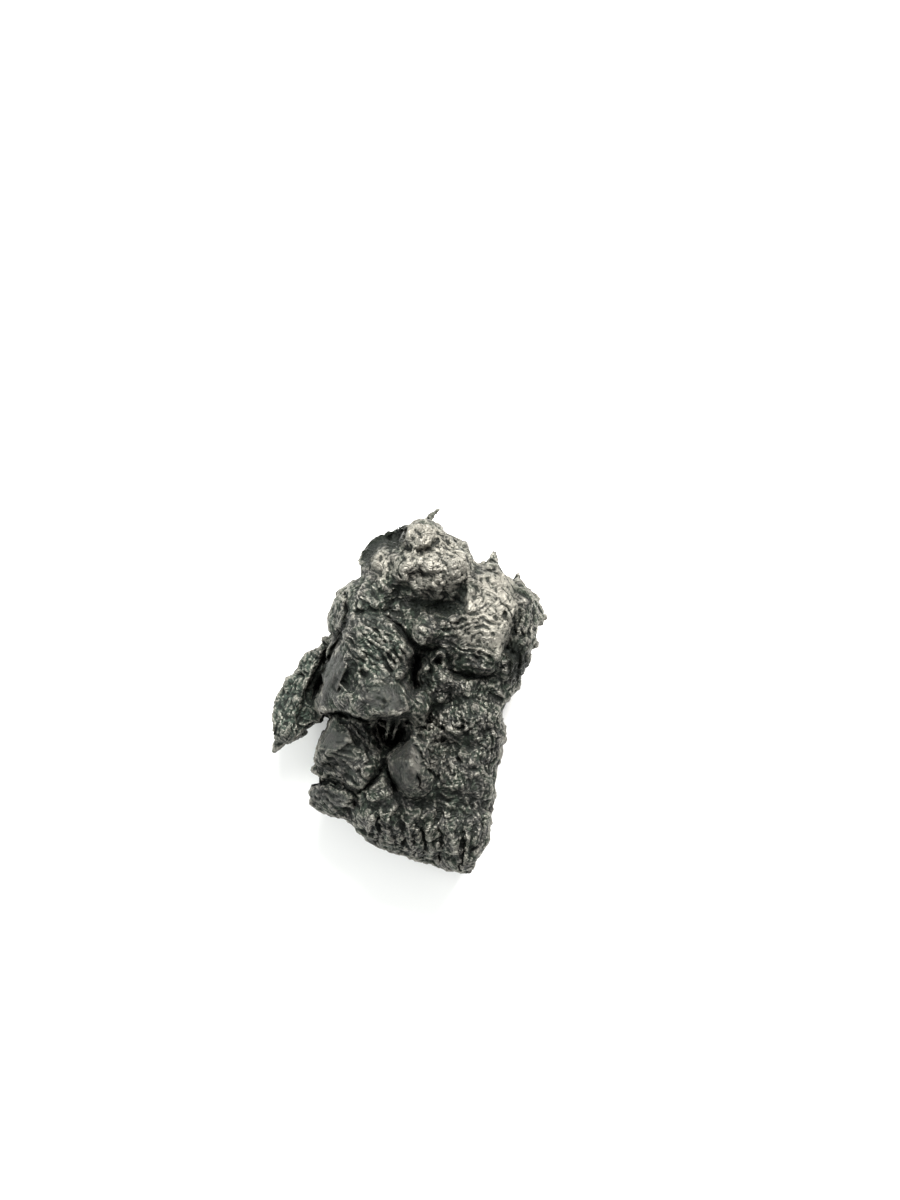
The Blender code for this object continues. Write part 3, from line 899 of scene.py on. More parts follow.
FORMS = sketch("""
crown
dab 1.5 -20 0.9: -1.2,16.8 2.4,4
dab 0.7 20 0.8: 1,14.8 1.6,1.4
dab 0.8 -30 0.8: 6.4,15.2 2.2,1.3
dab -0.7 -4 0.9: 4.4,12.9 4.4,1.2
dab 1.4 0 0.35: 1.5,23.6 2.4,2.6
dab -0.8 0 1: 3.2,16.6 3.6,2.6
dab 1.9 -8 0.9: 7.4,18.4 2.4,3.8
dab 1 0 0.9: -1,18.4 2.2,3.2
dab 0.8 0 0.6: -2.9,20.2 2.2,2.2
dab -5 -32 0.6: -1.5,23.4 1.5,2.5
ridge 0.9 -2.6: -7.2,19.2 -5.6,21.4 -3.6,23 -1.6,24.4 0,25.4
ridge 0.7 -1.6: -4.9,22 -5.2,20.4 -5.4,18.8
scarp 0.8 0.5: -0.6,15.4 1.2,14.4 3.4,14.9 5.8,14.2 8.6,16
temple and cheek
dab 0.8 0 0.7: -6,14.4 2.8,2.6
dab -1.2 0 0.9: -2.6,13.6 1.2,1.7
ridge 0.5 -1.3: -9.1,15.6 -8.9,12.6 -8.8,9.6
dab 1 -35 0.6: 2.2,9.2 2.8,1.8
ridge 0.8 -1.5: -1.4,12.4 -0.6,9.8 0.8,7.7 2.8,6.7 5.2,6.9
ridge 0.8 -8.5: 1.9,6.6 1.4,4.4 1.1,2.6 1,0
dab -2.2 0 0.9: 2.6,0.9 1.2,1.2
lip, drape and the shelf over the lower half
ridge 0.6 -0.6: -9.4,2.8 -7.6,1.7 -5.8,0.9 -4,0.1 -2.8,-0.8
scarp 1.1 1.5: -14.2,-2.7 -12,-2.6 -10,-2.4 -7.6,-2.8 -5,-3.5 -2.6,-3 0.7,-2.5
ridge 1 -5.6: -4.1,-3.4 -3.8,-4.8 -3.4,-6.6 -2.8,-9
ridge 0.9 -6: 0.4,-2.8 -0.1,-4.6 -0.7,-6.4 -2.2,-9.2
ridge 1.1 -4.2: -2.2,-3 -2.3,-5.4 -2.2,-8
plateau, its undercut, and the flank
dab 0.9 8 0.4: 12.4,12.6 4.8,7
ridge 0.7 -2: 4.6,6.4 6.4,4.1 8.4,3.1 10.6,2.9 13.4,3
ridge 1.1 -1.2: 17.4,13.2 16.2,10.4 15,7.4 14.2,4.4
lower right, the column of sponge
dab -0.9 12 0.8: 5.4,-8.4 3.4,5.6
ridge 0.8 -0.8: 8.9,-5.4 9.3,-8.6 8.6,-12.6
boulder and its clefts
ridge 0.5 -3.2: -3.2,-8.8 -2.9,-11 -2,-13 -0.9,-15
ridge 0.5 -3: -3.3,-9.4 -4.2,-11.8 -5.6,-13.6 -7.4,-14.9
ridge 0.4 -1.2: -0.2,-6.6 -1.4,-8.2 -2.6,-9.2
lobe and hoof
dab -1.4 0 0.9: -11.2,-10.8 2.4,1.1
ridge 0.5 -1.9: -14.4,-13.1 -11.4,-13.1 -9,-13.7 -7,-15.2 -6.6,-17.2
foot
ridge 0.6 -1.1: -8,-16.6 -4,-16.6 -0.6,-15.4 3,-15.7 8,-15.4
ridge 2.6 -3.6: -8.8,-22.2 -2,-25.4 8,-28.6
wing
ridge 0.75 -7: -9.8,9.6 -11.4,6.2 -12.9,2.6 -13.9,0.2 -14.7,-2.6
""")

FOLDS = sketch("""
crown
ridge 0.35 -1: -0.8,22.3 0.2,21.3 1.8,20.9 3.4,21.5 4.2,22.6
rake 1.5 0.45 0.75: 0.2,22.2 0.5,23.8 1.4,25.6
rake 1.2 0.4 0.7: 3.6,22 4.6,23.2 4.8,24.6
ridge 0.3 -0.7: -0.6,18 0.6,18 2,18 3.4,17.7 5,17.9
rake 2 0.45 0.8: 4.8,22.2 6.4,20.6 7.4,18.4 8,16.2
rake 0.7 0.4 0.55: -0.4,19.2 0.4,20.5 1.6,20.4 2,19.2 1.2,18.4
rake 0.7 0.4 0.6: 2.6,18.6 3,20.2 4.4,20.4 5.2,19.2 4.4,18.3
rake 0.9 0.4 0.6: 1,16 2.6,17 4.4,16.6 5.4,15.4
ridge 0.4 0.8: -0.4,17.8 0.6,16.4 1.8,15.1 2.6,14.6
ridge 0.5 0.8: 4.2,16 4.8,15.2 5,14.4
rake 1.2 0.4 0.8: -4.6,21.6 -3,21.2 -2.2,19.6 -3,18.2
ridge 0.6 0.6: 9.8,19.2 9.5,16.2 9.2,13.6 9.4,11.2
ridge 0.4 -0.5: 8.7,18.6 8.3,16 8.4,13.4
rake 1 0.4 0.6: 8.2,16.8 7.6,14.6 7.4,12.6
dab 0.9 0 0.8: 6.8,19.2 1.1,1.1
beneath the brow
rake 1.3 0.5 0.75: 0.4,13.6 2.4,12.7 4.4,12.8 6.4,12.2 8.6,12.4
rake 1.4 1.1 0.8: 2.6,10.4 5,9.9 7.4,10.3 9.6,11 12,11.2
rake 0.8 0.35 0.6: 4.4,9 6.2,8.5 8,8.8 9.6,9.4
ridge 0.5 0.5: 0.4,11.6 1.6,10.6 3.2,9.4 4.4,8.2
temple
rake 1.5 0.4 0.85: -7.8,16.6 -6.4,14.6 -6.6,12.2 -7.4,10.6
rake 1.5 0.5 0.8: -4.8,16 -4,14 -2.8,12.2 -1.6,11
ridge 0.3 -0.8: -8.2,12.3 -6,12.4 -4.4,12.2 -3,12
rake 0.8 0.5 0.6: -1.8,16.6 -0.8,14.8 -0.4,13
furrows of the cheek
rake 2.3 1.15 1: -6.4,10.2 -4,8.2 -1.8,5.8 -0.6,3.8
rake 1.5 0.8 0.95: -8.8,7.8 -6.8,6 -5.2,4.4 -3.6,3.2
rake 1 0.8 0.8: -3,10.2 -1.4,8.2 0.2,6.6 1,5
dab 0.8 -30 0.5: -1,2.9 1,0.9
dab -1.2 -25 0.7: -6,3 1.2,0.5
dab -0.8 -25 0.7: -8.9,3 0.9,0.5
ear beside the hole
ridge 0.32 1.1: 4,3.8 3.9,5.2 4.5,6.1 5.5,5.8 5.6,4.7 4.9,3.7
dab -1.2 0 0.7: 4.7,5 0.6,0.8
rake 1.2 0.6 0.8: 3.2,4.4 3.2,2.4 4,0.6 5,-1.4
rake 0.8 0.4 0.6: 6,3.8 5.7,2.4 6,0.6
flows under the plateau
rake 1.5 1.4 0.8: 5.6,4.2 7.2,5.7 9.2,6.2 11.2,5.8 13.2,4.4
scarp 0.35 0.7: 7.6,3.9 9.4,4.3 11.2,3.9 12.8,3.7
plateau ripples
rake 1.8 0.6 0.85: 8.2,8 10.2,10 12.8,10.4 15,8.8
rake 1.6 0.22 0.9: 9.8,12.2 11.4,13.6 13.6,13.6 15.4,12.4
rake 0.9 0.3 0.6: 10.4,18.2 10.8,15.6 10.2,13.2
ridge 0.35 -0.9: 11.6,18 12.8,18.3 13.6,17.4
ridge 0.3 -0.5: 11,17 12.4,16.4 13,15
rake 1.2 0.3 0.8: 13.4,16.8 15,15.2 16.2,13.2
dab -1.2 -20 0.8: 14.5,11.5 0.5,0.9
dab 0.7 0 0.5: 13.4,5.9 0.9,0.9
dab 0.7 0 0.5: 15.2,11.6 0.6,0.7
flank streaks
rake 2.3 0.95 1.1: 18.8,14.8 18.2,11.2 17,7.6 15.9,4 15.2,0.4
rake 0.9 0.5 0.7: 16.4,13.6 16,10.6 14.8,7.6
rake 0.9 0.5 0.7: 13.8,4.8 13.8,2.2 14.2,-0.8
shelf, lip and mouth
ridge 0.4 0.5: -7,3.2 -4.6,2.6 -2.2,2 -0.2,1
ridge 0.4 0.7: -0.2,1.6 0.1,0 0.3,-1.4 0.6,-2.4
ridge 0.28 -1.1: -4.9,0.1 -3.6,-0.4 -2.6,-1.3
rake 1 0.16 0.7: -6.6,1 -4.4,1 -1.6,0.4
rake 1.4 0.85 0.8: -6.8,-3.8 -6.4,-5.4 -5.6,-7 -5,-8.8
rake 0.8 0.35 0.6: -8.6,-4 -7.8,-5.2 -7.2,-6.8
rake 0.6 0.5 0.6: -10.4,-3.2 -8.8,-3.4 -7,-3.6
boulder facets
scarp 1.2 0.8: 0.3,-6.9 0.1,-9.2 -0.2,-11.6 -0.9,-14.2
ridge 0.5 0.5: 2.9,-9.4 2.4,-11.6 1.6,-13.6
rake 0.9 0.25 0.6: 0.6,-7.2 1.6,-8.8 2.1,-10.8 1.7,-12.8
rake 0.7 0.4 0.6: -2.2,-9.4 -1.8,-10.8 -1.8,-12.6
ridge 0.3 -0.8: 1.2,-11.4 2,-12.4 2.2,-14
lobe
rake 2 0.3 1.2: -13,-6.4 -10.8,-7 -8.6,-8 -6.4,-9.6
scarp 0.35 0.7: -9.2,-6.4 -8,-7.2 -7.2,-8.4
rake 0.8 0.4 0.7: -13.6,-9.6 -12,-9.4 -10.2,-9.9
rake 0.6 0.4 0.6: -13.4,-12.2 -12,-11.9 -10.2,-12.4
rake 0.9 0.4 0.7: -6.8,-9.2 -6.4,-11 -6,-12.8
ridge 0.3 -0.7: -8.6,-12 -7.6,-13.2 -6.4,-13.4
hoof
rake 1.6 1.2 1.1: -15.4,-15.3 -12.4,-15.2 -9.8,-15.6 -7.8,-16.1
rake 0.8 0.5 0.6: -14,-17.9 -12,-18 -9.2,-18.2
dab -1.6 0 0.7: -7.6,-16.4 0.7,1.2
foot
rake 2.1 1 1.9: -7.4,-17.6 -6.2,-19.8 -4.6,-22.2
rake 2 1 1.8: -3.6,-16.8 -2.8,-19.4 -2.2,-23.6
rake 2 1 1.7: 0.2,-18.8 0.8,-21.6 1,-24.8
rake 2.1 0.9 1.9: 3.4,-18.8 3.8,-22 4,-25.6
rake 2.1 0.9 1.7: 7,-18.4 7.2,-22 7.2,-26.4
rake 1.9 0.8 1.6: 10.4,-17.6 10.6,-21 9.6,-26
rake 1.2 0.5 0.65: -2.4,-15.6 -0.2,-16.6 3,-16.8 7,-16.2 12,-15.8
rake 0.6 0.4 0.5: 0.2,-17.8 1.8,-18.1 4,-17.8
rake 0.8 0.35 0.6: -6,-14.8 -4.4,-15.6 -2.4,-15.4
column
rake 2 0.35 0.75: 7.6,2.6 7.6,-0.4 8.4,-3.6
rake 1.9 0.35 0.7: 11,2.2 11.2,-2 11.8,-5.6
rake 1.6 0.4 0.7: 12.2,-5.2 12,-9.6 11.6,-14.8
rake 1.3 0.35 0.65: 9.4,-9.6 9.2,-12.4 9.2,-15.2
rake 2.5 0.7 0.9: 0.8,-2.8 3,-5.2 5,-8.4 6.6,-13.4
rake 2.8 0.35 0.8: 1.6,-10.2 4,-8 6,-6 8.6,-4
rake 1.2 0.3 0.7: 2.2,-0.6 3.2,-2 4.4,-3.2
wing
rake 2.3 0.45 0.95: -12.8,7.8 -15,4.2 -16.6,0.6 -17.6,-3.2 -18.8,-8.2
ridge 0.28 -0.8: -17.4,2.7 -15.6,2.6 -14.2,3.6
rake 0.9 0.4 0.7: -13.4,-2.6 -15.4,-3.8 -17.2,-6.6
drape
rake 1.5 0.25 1: -9.6,8.4 -11.2,4.6 -12.6,1.4 -13.8,-2
mouth, the hole beside the lip and the slit in the ear
dab -4 14 0.5: -3.3,-5.4 1.2,2.3
dab -4 -14 0.5: -1.6,-5.8 1.3,2.8
dab -2 -16 0.7: -0.1,-4.6 0.5,1.8
dab -3 6 0.6: 1.1,2.4 0.8,1.9
dab -1.4 -18 0.7: 3.5,3.5 0.45,1.3
""")

CLEFTS = sketch("""
ridge 0.22 -1.61: -2.9,-7.8 -3.1,-9.4 -2.7,-11.4 -1.9,-13.2 -0.9,-14.8
ridge 0.2 -1.49: -3.1,-9.2 -3.7,-11 -4.8,-12.8 -6.4,-14.2 -7.6,-15
ridge 0.2 -0.99: 0.2,-6.6 -1.2,-8 -2.6,-9.2
ridge 0.29 -1.49: -13.2,-3.1 -10.4,-2.9 -7.6,-3.3 -5.4,-4.1 -3.6,-3.5
ridge 0.22 -1.24: -4.6,-4 -4.7,-5.6 -4.2,-7.2 -3.2,-8.4
ridge 0.25 -1.55: -9.6,9.4 -11.2,6.2 -12.8,2.6 -13.9,0 -14.6,-2.4
ridge 0.32 -2.17: 1.7,6.4 1.2,4.4 0.9,2.4 1.1,0.4
ridge 0.22 -1.12: -9,15.4 -8.8,12.6 -9,10.2 -9.9,8.8
ridge 0.29 -1.12: 5.2,4 6.8,3.4 8.6,2.9 10.8,2.7 13.4,2.9
ridge 0.29 -1.12: -2.6,11.4 -1,9.9 0.6,7.7 1.9,6.6
ridge 0.25 -0.93: 2.2,6.9 3.8,6.6 5.2,6.9
ridge 0.22 -0.99: -14.6,-13.3 -11.4,-13.2 -9,-13.9 -7.4,-15.4 -7.2,-17.4
ridge 0.29 -0.74: -12.8,-10.2 -11,-10.6 -9.4,-10.4
ridge 0.25 -0.62: -12,-12.4 -10.4,-12.3 -9,-12.6
ridge 0.25 -0.93: 0.8,-6.7 2.1,-8.4 2.9,-10.4 4.4,-12 4.6,-13.6
ridge 0.25 -0.74: 4.4,-14.2 2,-15.2 -0.8,-15.2
ridge 0.2 -0.62: 1.2,-11.2 2,-12.4 2,-14.2
ridge 0.2 -0.31: -0.6,-7.2 -0.4,-9.4 -1,-12 -0.6,-14
ridge 0.25 -0.74: 13.4,14.2 15.4,12 15.8,9.2 14.6,6.6 13.8,3.4
ridge 0.2 -0.5: -1,21.9 -0.6,20.4 -1,18.6 -0.2,16.6
ridge 0.3 0.9: 4.1,3.6 3.9,5.1 4.5,6 5.5,5.7 5.6,4.6
between the folds of the foot
ridge 0.3 -0.9: -4.4,-17.4 -4.1,-20 -4.7,-22.8
ridge 0.3 -0.8: -0.6,-18.6 -0.3,-21.4 -1.2,-24.2
ridge 0.3 -0.9: 2.1,-19.2 2.7,-22.4 2.4,-25.6
ridge 0.28 -0.8: 4.8,-19 5.2,-22.4 4.7,-26.2
ridge 0.28 -0.8: 8,-18.6 8.5,-22.4 8,-26.6
""")

# Painted shade where shade falls in the recesses, and painted light where the crust faces the lamp. A height
# of 1 is a full step.
# painted highlights where the crust faces the lamp
# painted shade in the recesses
PAINTED_SHADING_MARKS = sketch("""
soot in the recesses
dab -1.2 -30 0.5: -1.4,23.4 1.8,2.7
ridge 1.3 -1.2: -6.8,19.6 -5.6,21.8 -3.2,23.6 -0.8,25.2
ridge 0.7 -0.8: -5.5,21.4 -5.6,19.6 -5.6,18.2
dab -0.85 -4 0.7: 4.8,12.9 4.6,1.9
dab -0.8 0 0.6: 1.2,13.4 1.6,1.3
dab -0.6 0 0.7: 8,14.6 1.2,2.4
dab -0.7 0 0.7: -2.6,13.6 1.2,1.8
ridge 0.4 -0.6: -8.2,12.3 -6,12.4 -3,12
ridge 0.6 -0.9: -2.4,11 -1,9.9 0.9,7.6 2.8,6.7 5.2,6.9
ridge 0.5 -0.9: -8.9,14.6 -8.9,12 -9.4,9.2 -11,8.6
ridge 0.6 -1: -10.2,9.2 -11.6,5.6 -13.2,1.8 -14.6,-2
ridge 0.8 -1.2: 1.6,6.2 1.3,4 1,0.8
dab -0.6 0 0.7: 3,1.6 1.4,2.6
ridge 0.7 -0.9: 5.8,3.4 8,2.9 10.4,2.7 13,2.8
dab -0.8 0 0.5: 16.4,4.8 2.4,4.4
ridge 0.8 -0.5: 16,12.6 15.8,9 14.6,5.6
ridge 0.7 -0.9: -12.8,-3.2 -10,-3 -7,-3.5 -4.6,-4
dab -1 -10 0.4: -1.9,-5.8 2,3.2
ridge 0.5 -0.6: -6.6,-3.8 -5.8,-6 -5,-8.4
ridge 0.5 -1: -3.2,-9.4 -2.6,-12 -1,-14.6
ridge 0.5 -1: -3.6,-10 -4.6,-12.4 -6.8,-14.4
dab -0.55 0 0.7: -11.4,-10.6 2.8,1.4
dab -0.55 0 0.7: -10.4,-12.6 2.4,0.9
ridge 0.5 -0.7: -9.4,-13.6 -7.6,-15 -7.4,-17.2
dab -0.45 12 0.6: 5,-8.4 2.8,4.8
dab -0.5 0 0.7: 9,-7.8 1.8,2.6
ridge 0.4 -0.8: -4.8,0 -3.6,-0.4 -2.6,-1.2
ridge 0.5 -0.35: -9.4,2.8 -7.4,1.6 -5.4,0.7
dab -0.6 -20 0.7: -5.6,3 1.4,0.7
ridge 0.5 -0.4: -6,-16.8 -2,-16.4 1,-15.4 6,-15.4
dab -0.5 0 0.7: 2.4,-23.6 1.2,1.4
rubbed metal
dab 0.5 -4 0.5: 3.6,19.2 6,3.4
dab 0.3 0 0.7: 7,18.6 2.2,3
dab 0.35 10 0.5: 12.4,11.6 4,6.2
dab 0.25 0 0.7: 10.8,8 2.6,2.2
dab 0.45 -15 0.7: 2.4,16.4 2.4,1.2
ridge 0.35 0.6: -0.4,17.8 0.6,16.4 1.8,15.1
dab 0.5 0 0.7: 4.8,15.2 0.8,0.8
dab 0.45 -30 0.7: 1.8,9.8 2.2,1.2
dab 0.35 0 0.8: -6,14.4 1.6,1.4
ridge 0.5 0.4: 6.6,5.6 8.6,6.4 11,6.2 12.8,5
ridge 0.35 0.6: 4.6,6 5.5,5.6 5.4,4.2
dab 0.6 0 0.6: 13.4,5.8 0.8,0.8
dab 0.6 0 0.6: 15.2,11.6 0.6,0.8
dab 0.5 6 0.6: 1.4,-9.6 1.3,2.9
ridge 0.4 0.5: -2.4,-9.6 -2.2,-11 -2.2,-12
ridge 0.25 1: -2.2,-3.9 -2.9,-5.2 -2.6,-6.4
ridge 0.22 0.9: -0.9,-3.6 -1.4,-5 -2,-6.6
dab 0.45 0 0.7: -4.2,-8.1 0.9,1.1
ridge 0.3 0.7: -9.2,-6.4 -8.4,-6.8 -7.9,-7.2
dab 0.45 0 0.8: -5.8,-11.8 0.9,1
dab 0.35 0 0.8: -3,-15.2 1.4,0.9
dab 0.35 0 0.8: 1.8,-17.8 2.2,0.9
dab 0.25 0 0.8: 8.8,-4.2 2.6,1.3
dab 0.15 -15 0.8: -2,1.2 2.4,1.6
""")

# Ellipses with soft edges, rows such as "name turn edge: centre half-sizes". Those of one name make one zone.
ZONES = """
crown 0 0.4: 4.2,18.8 6.4,5
crown 0 0.5: 2.2,23.2 3.8,3
crown 0 0.8: -3.4,19 3,3.2
plateau 8 0.5: 12.8,13.2 4.8,6.8
plateau 0 0.5: 11,8.4 5.2,3.2
cheek -25 0.6: -4,6.6 5.4,4.6
cheek 0 0.8: -4.6,12.6 4,3.6
drape -20 0.5: -11.4,2.4 2.8,6.4
lip -20 0.5: -3.2,-0.2 4.4,2.8
lip 0 0.5: 0.2,-10.4 3.2,4.6
lip 0 0.5: -10.6,-6.6 3.2,2.4
lip 0 0.5: -11.6,-15.2 3.6,1.8
sponge 6 0.5: 5.6,-8.2 4,7
sponge 0 0.6: 7,-0.6 4.6,4
column 0 0.5: 11.6,-6 2.8,11
column -14 0.6: 16.6,7 3,8.6
brow -4 0.5: 4.6,12.8 5,2.8
brow 0 0.7: -2.4,13.2 1.6,2.6
pitted 22 0.5: 4.8,-7.4 2.6,6.2
pitted 0 0.8: 8.4,-5 3,2.6
foot -10 0.5: 1.6,-21 13,5.6
wing -22 0.5: -16.8,-0.8 4,9.6
lobe 0 0.6: -9.6,-8.6 5.4,5.4
lobe 0 0.6: 0.4,-10.4 3.2,4.2
hoof 0 0.6: -11.4,-16 4.8,3.2
"""

FACETS, RIDGES, ROPES, CURLS, PITS = Pattern

CHIPS = (
    Grain(FACETS, 4.8, 0.8, "sides"),
    Grain(FACETS, 3.4, 0.6, "face", 1.4, -40),
    Grain(FACETS, 2.4, 0.7, "crown", 1.0, 20, 0.7),
    Grain(RIDGES, 2.6, 0.35, "crown"),
    Grain(RIDGES, 3.4, 0.3),
)

FLANKS = (
    Grain(FACETS, 4.4, 0.8, "sides", 1.0, 0, 0.8, 0.2),
    Grain(FACETS, 2.2, 0.3, "sides", 1.0, 0, 0.8, 0.05),
    Grain(RIDGES, 3.0, 0.3, "sides"),
)

GRAINS = (
    Grain(FACETS, 1.9, 0.18, "face", 1.5, -45, 0.7),
    Grain(RIDGES, 1.4, 0.14, "crown", 1.5, 70, 1.0),
    Grain(FACETS, 1.0, 0.14, "crown", 1.0, 0, 0.8),
    Grain(FACETS, 1.0, 0.06, "plateau", 1.0, 0, 0.8),
    Grain(RIDGES, 1.6, 0.3, "brow", 1.6, 20, 1.0),
    Grain(ROPES, 1.0, 0.14, "cheek", 2.0, -42, 0.5),
    Grain(FACETS, 0.9, 0.16, "sponge", 1.5, -45, 0.8),
    Grain(PITS, 1.15, 0.95, "pitted", 1.5, -48, 0.6),
    Grain(RIDGES, 1.1, 0.14, "sponge", 1.8, 80, 1.0),
    Grain(RIDGES, 1.1, 0.2, "column", 2.6, 84, 1.0),
    Grain(ROPES, 1.6, 0.12, "drape", 4.0, 66, 0.5),
    Grain(FACETS, 2.6, 0.12, "lip", 1.4, -30, 0.5),
    Grain(FACETS, 2.4, 0.4, "foot", 2.0, 74, 0.6),
    Grain(RIDGES, 1.4, 0.16, "foot", 2.6, 74, 1.0),
    Grain(ROPES, 1.1, 0.14, "wing", 2.8, 66, 0.5),
    Grain(ROPES, 1.2, 0.16, "hoof", 3.0, -4, 0.5),
    Grain(RIDGES, 1.7, 0.16, "face", 2.0, -45, 1.0),
    Grain(FACETS, 1.1, 0.05, "face", 1.5, -40, 0.8),
    Grain(CURLS, 1.8, 0.12, "sides", 1.0, 0, 0.8),
    Grain(RIDGES, 1.5, 0.12, "sides"),
)


# --- materials ---


class NodeSheet:
    """A material's node tree, built by hand."""

    # Sockets of a Mix node that mixes colours, which share their names with other ones.
    SHARE, FIRST, SECOND, RESULT = 0, 6, 7, 2

    def __init__(self, name: str) -> None:
        """Starts an empty sheet for the material of that name."""
        self.material = bpy.data.materials.new(name)
        self.material.use_nodes = True
        self.tree = self.material.node_tree
        self.shader = self.tree.nodes["Principled BSDF"]
        self.place = self.add("TexCoord").outputs["Object"]

    def add(self, kind: str, settings: dict[str, str] | None = None, **inputs: object) -> bpy.types.Node:
        """Adds a node.

        Args:
            kind: the node's type, without its ShaderNode prefix.
            settings: properties of the node.
            **inputs: values or sockets for its inputs, by name, with _ for a space.

        Returns:
            The node.
        """
        node = self.tree.nodes.new("ShaderNode" + kind)
        for name, value in (settings or {}).items():
            setattr(node, name, value)
        for name, value in inputs.items():
            self.feed(node.inputs[name.replace("_", " ")], value)
        return node

    def feed(self, socket: Socket, value: object) -> None:
        """Links a socket into another, or sets its value."""
        if isinstance(value, Socket):
            self.tree.links.new(value, socket)
        else:
            socket.default_value = value

    def finish(self, **inputs: object) -> bpy.types.Material:
        """Feeds the shader's inputs, named as in add, and hands the material over."""
        for name, value in inputs.items():
            self.feed(self.shader.inputs[name.replace("_", " ")], value)
        return self.material

    def math(self, operation: str, first: object, second: object) -> Socket:
        """The result of a Math node on two values or sockets."""
        node = self.add("Math", {"operation": operation})
        self.feed(node.inputs[0], first)
        self.feed(node.inputs[1], second)
        return node.outputs[0]

    def times(self, first: object, second: object) -> Socket:
        """The product of two values or sockets."""
        return self.math("MULTIPLY", first, second)

    def ease(self, value: Socket, low: float, high: float, start: float = 0.0, end: float = 1.0) -> Socket:
        """The value eased from start at low to end at high."""
        limits = {"From_Min": low, "From_Max": high, "To_Min": start, "To_Max": end}
        node = self.add("MapRange", {"interpolation_type": "SMOOTHSTEP"}, **limits)
        self.feed(node.inputs["Value"], value)
        return node.outputs["Result"]

    def mix(self, share: Socket, first: object, second: object) -> Socket:
        """Two colours mixed."""
        node = self.add("Mix", {"data_type": "RGBA"})
        for number, value in ((self.SHARE, share), (self.FIRST, first), (self.SECOND, second)):
            self.feed(node.inputs[number], value)
        return node.outputs[self.RESULT]

    def noise(self, **inputs: float) -> Socket:
        """A noise texture that sits still on the object."""
        return self.add("TexNoise", Vector=self.place, **inputs).outputs["Fac"]

    def channels(self, name: str) -> list[Socket]:
        """The three values of a colour attribute."""
        colour = self.add("Attribute", {"attribute_name": name}).outputs["Color"]
        return list(self.add("SeparateColor", Color=colour).outputs)


@dataclass(frozen=True)
class FusedIron:
    """The stone's crust: fused iron, dark greenish grey, with greenish-black painted shade in its recesses
    and painted highlights of warm grey where it is proud.

    Attributes:
        deep: the greenish-black painted shade of the recesses; body, green and satin: the crust's own
            colours; pale: painted light on the crown and plateau, which face the lamp; the last: painted
            highlight on proud crests and lit patches.
        mottle_scale: patches across a metre; speck_scale and fold_scale are the same for specks and folds.
        folds: folds in each patch of folds.
        bump: the height of the grit and the micro folds, in metres.
    """

    deep: Colour = (0.002, 0.004, 0.002, 1.0)
    body: Colour = (0.018, 0.027, 0.018, 1.0)
    green: Colour = (0.029, 0.044, 0.033, 1.0)
    satin: Colour = (0.027, 0.027, 0.025, 1.0)
    pale: Colour = (0.20, 0.19, 0.162, 1.0)
    painted_highlight: Colour = (0.25, 0.24, 0.21, 1.0)
    mottle_scale: float = 420.0
    speck_scale: float = 2600.0
    fold_scale: float = 430.0
    folds: float = 12.0
    bump: float = 0.00014

    def make(self) -> bpy.types.Material:
        """Makes the material.

        Returns:
            The material.
        """
        sheet = NodeSheet("fused_iron")
        ease, math_node, times = sheet.ease, sheet.math, sheet.times
        fine, mid, broad = sheet.channels("relief")
        # pale is painted light on the crown and plateau; green and satin are the crust's own colours
        pale, green, satin = sheet.channels("crust")
        # painted shade in the recesses and painted light on lit patches, from the marks laid on the face
        painted_shading = sheet.add("Attribute", {"attribute_name": "painted_shading"}).outputs["Fac"]
        mottle = sheet.noise(Scale=self.mottle_scale, Detail=4.0, Roughness=0.6)
        specks = sheet.noise(Scale=self.speck_scale, Detail=3.0, Roughness=0.7)
        curl = sheet.noise(Scale=self.fold_scale, Detail=1.2, Roughness=0.5, Distortion=1.4)
        folds = math_node("PINGPONG", times(curl, self.folds), 1.0)
        vivid = times(ease(satin, 0.2, 1.0, 1.0, 0.25), ease(mottle, 0.35, 0.65, 0.4, 1.0))
        wave = times(ease(folds, 0.0, 1.0, -0.15, 0.13), vivid)
        height = math_node("ADD", math_node("ADD", times(fine, 0.5), times(mid, 0.5)), wave)
        # painted highlight: glints on proud crests, where the lamp catches them
        painted_glints = times(ease(height, 0.56, 0.84), ease(specks, 0.38, 0.62, 0.35, 1.0))
        # painted shade: recesses, low relief and the painted shade marks are darkened toward the deep colour
        sunk = math_node("MAXIMUM", ease(mid, 0.50, 0.24), ease(broad, 0.42, 0.08, 0.0, 0.85))
        sunk = math_node("MAXIMUM", sunk, ease(height, 0.49, 0.34))
        sunk = math_node("MAXIMUM", sunk, ease(painted_shading, 0.5, 0.05))
        layers = (
            (ease(mottle, 0.4, 0.6), self.satin),
            (times(green, 0.7), self.green),
            (times(satin, 0.7), self.satin),
            # painted light on the crown and plateau, where they stand out
            (times(pale, ease(mid, 0.25, 0.65, 0.3, 1.0)), self.pale),
            # painted highlight on proud crests
            (times(painted_glints, ease(satin, 0.2, 1.0, 0.8, 0.25)), self.painted_highlight),
            # painted light on the patches that face the lamp
            (ease(painted_shading, 0.55, 1.0, 0.0, 0.7), self.painted_highlight),
            # painted shade in the recesses
            (times(sunk, ease(pale, 0.0, 1.0, 0.96, 0.8)), self.deep),
        )
        colour = self.body
        for share, tint in layers:
            colour = sheet.mix(share, colour, tint)
        rough = math_node("SUBTRACT", ease(height, 0.3, 0.7, 0.72, 0.46), ease(specks, 0.5, 0.7, 0.0, 0.12))
        curled = times(folds, ease(satin, 0.2, 1.0, 1.0, 0.35))
        grit = math_node("ADD", curled, times(specks, 1.6))
        bump = sheet.add("Bump", Height=grit, Strength=0.9, Distance=self.bump).outputs["Normal"]
        metal = ease(height, 0.4, 0.75, 0.5, 0.85)
        return sheet.finish(Base_Color=colour, Metallic=metal, Roughness=rough, Normal=bump)


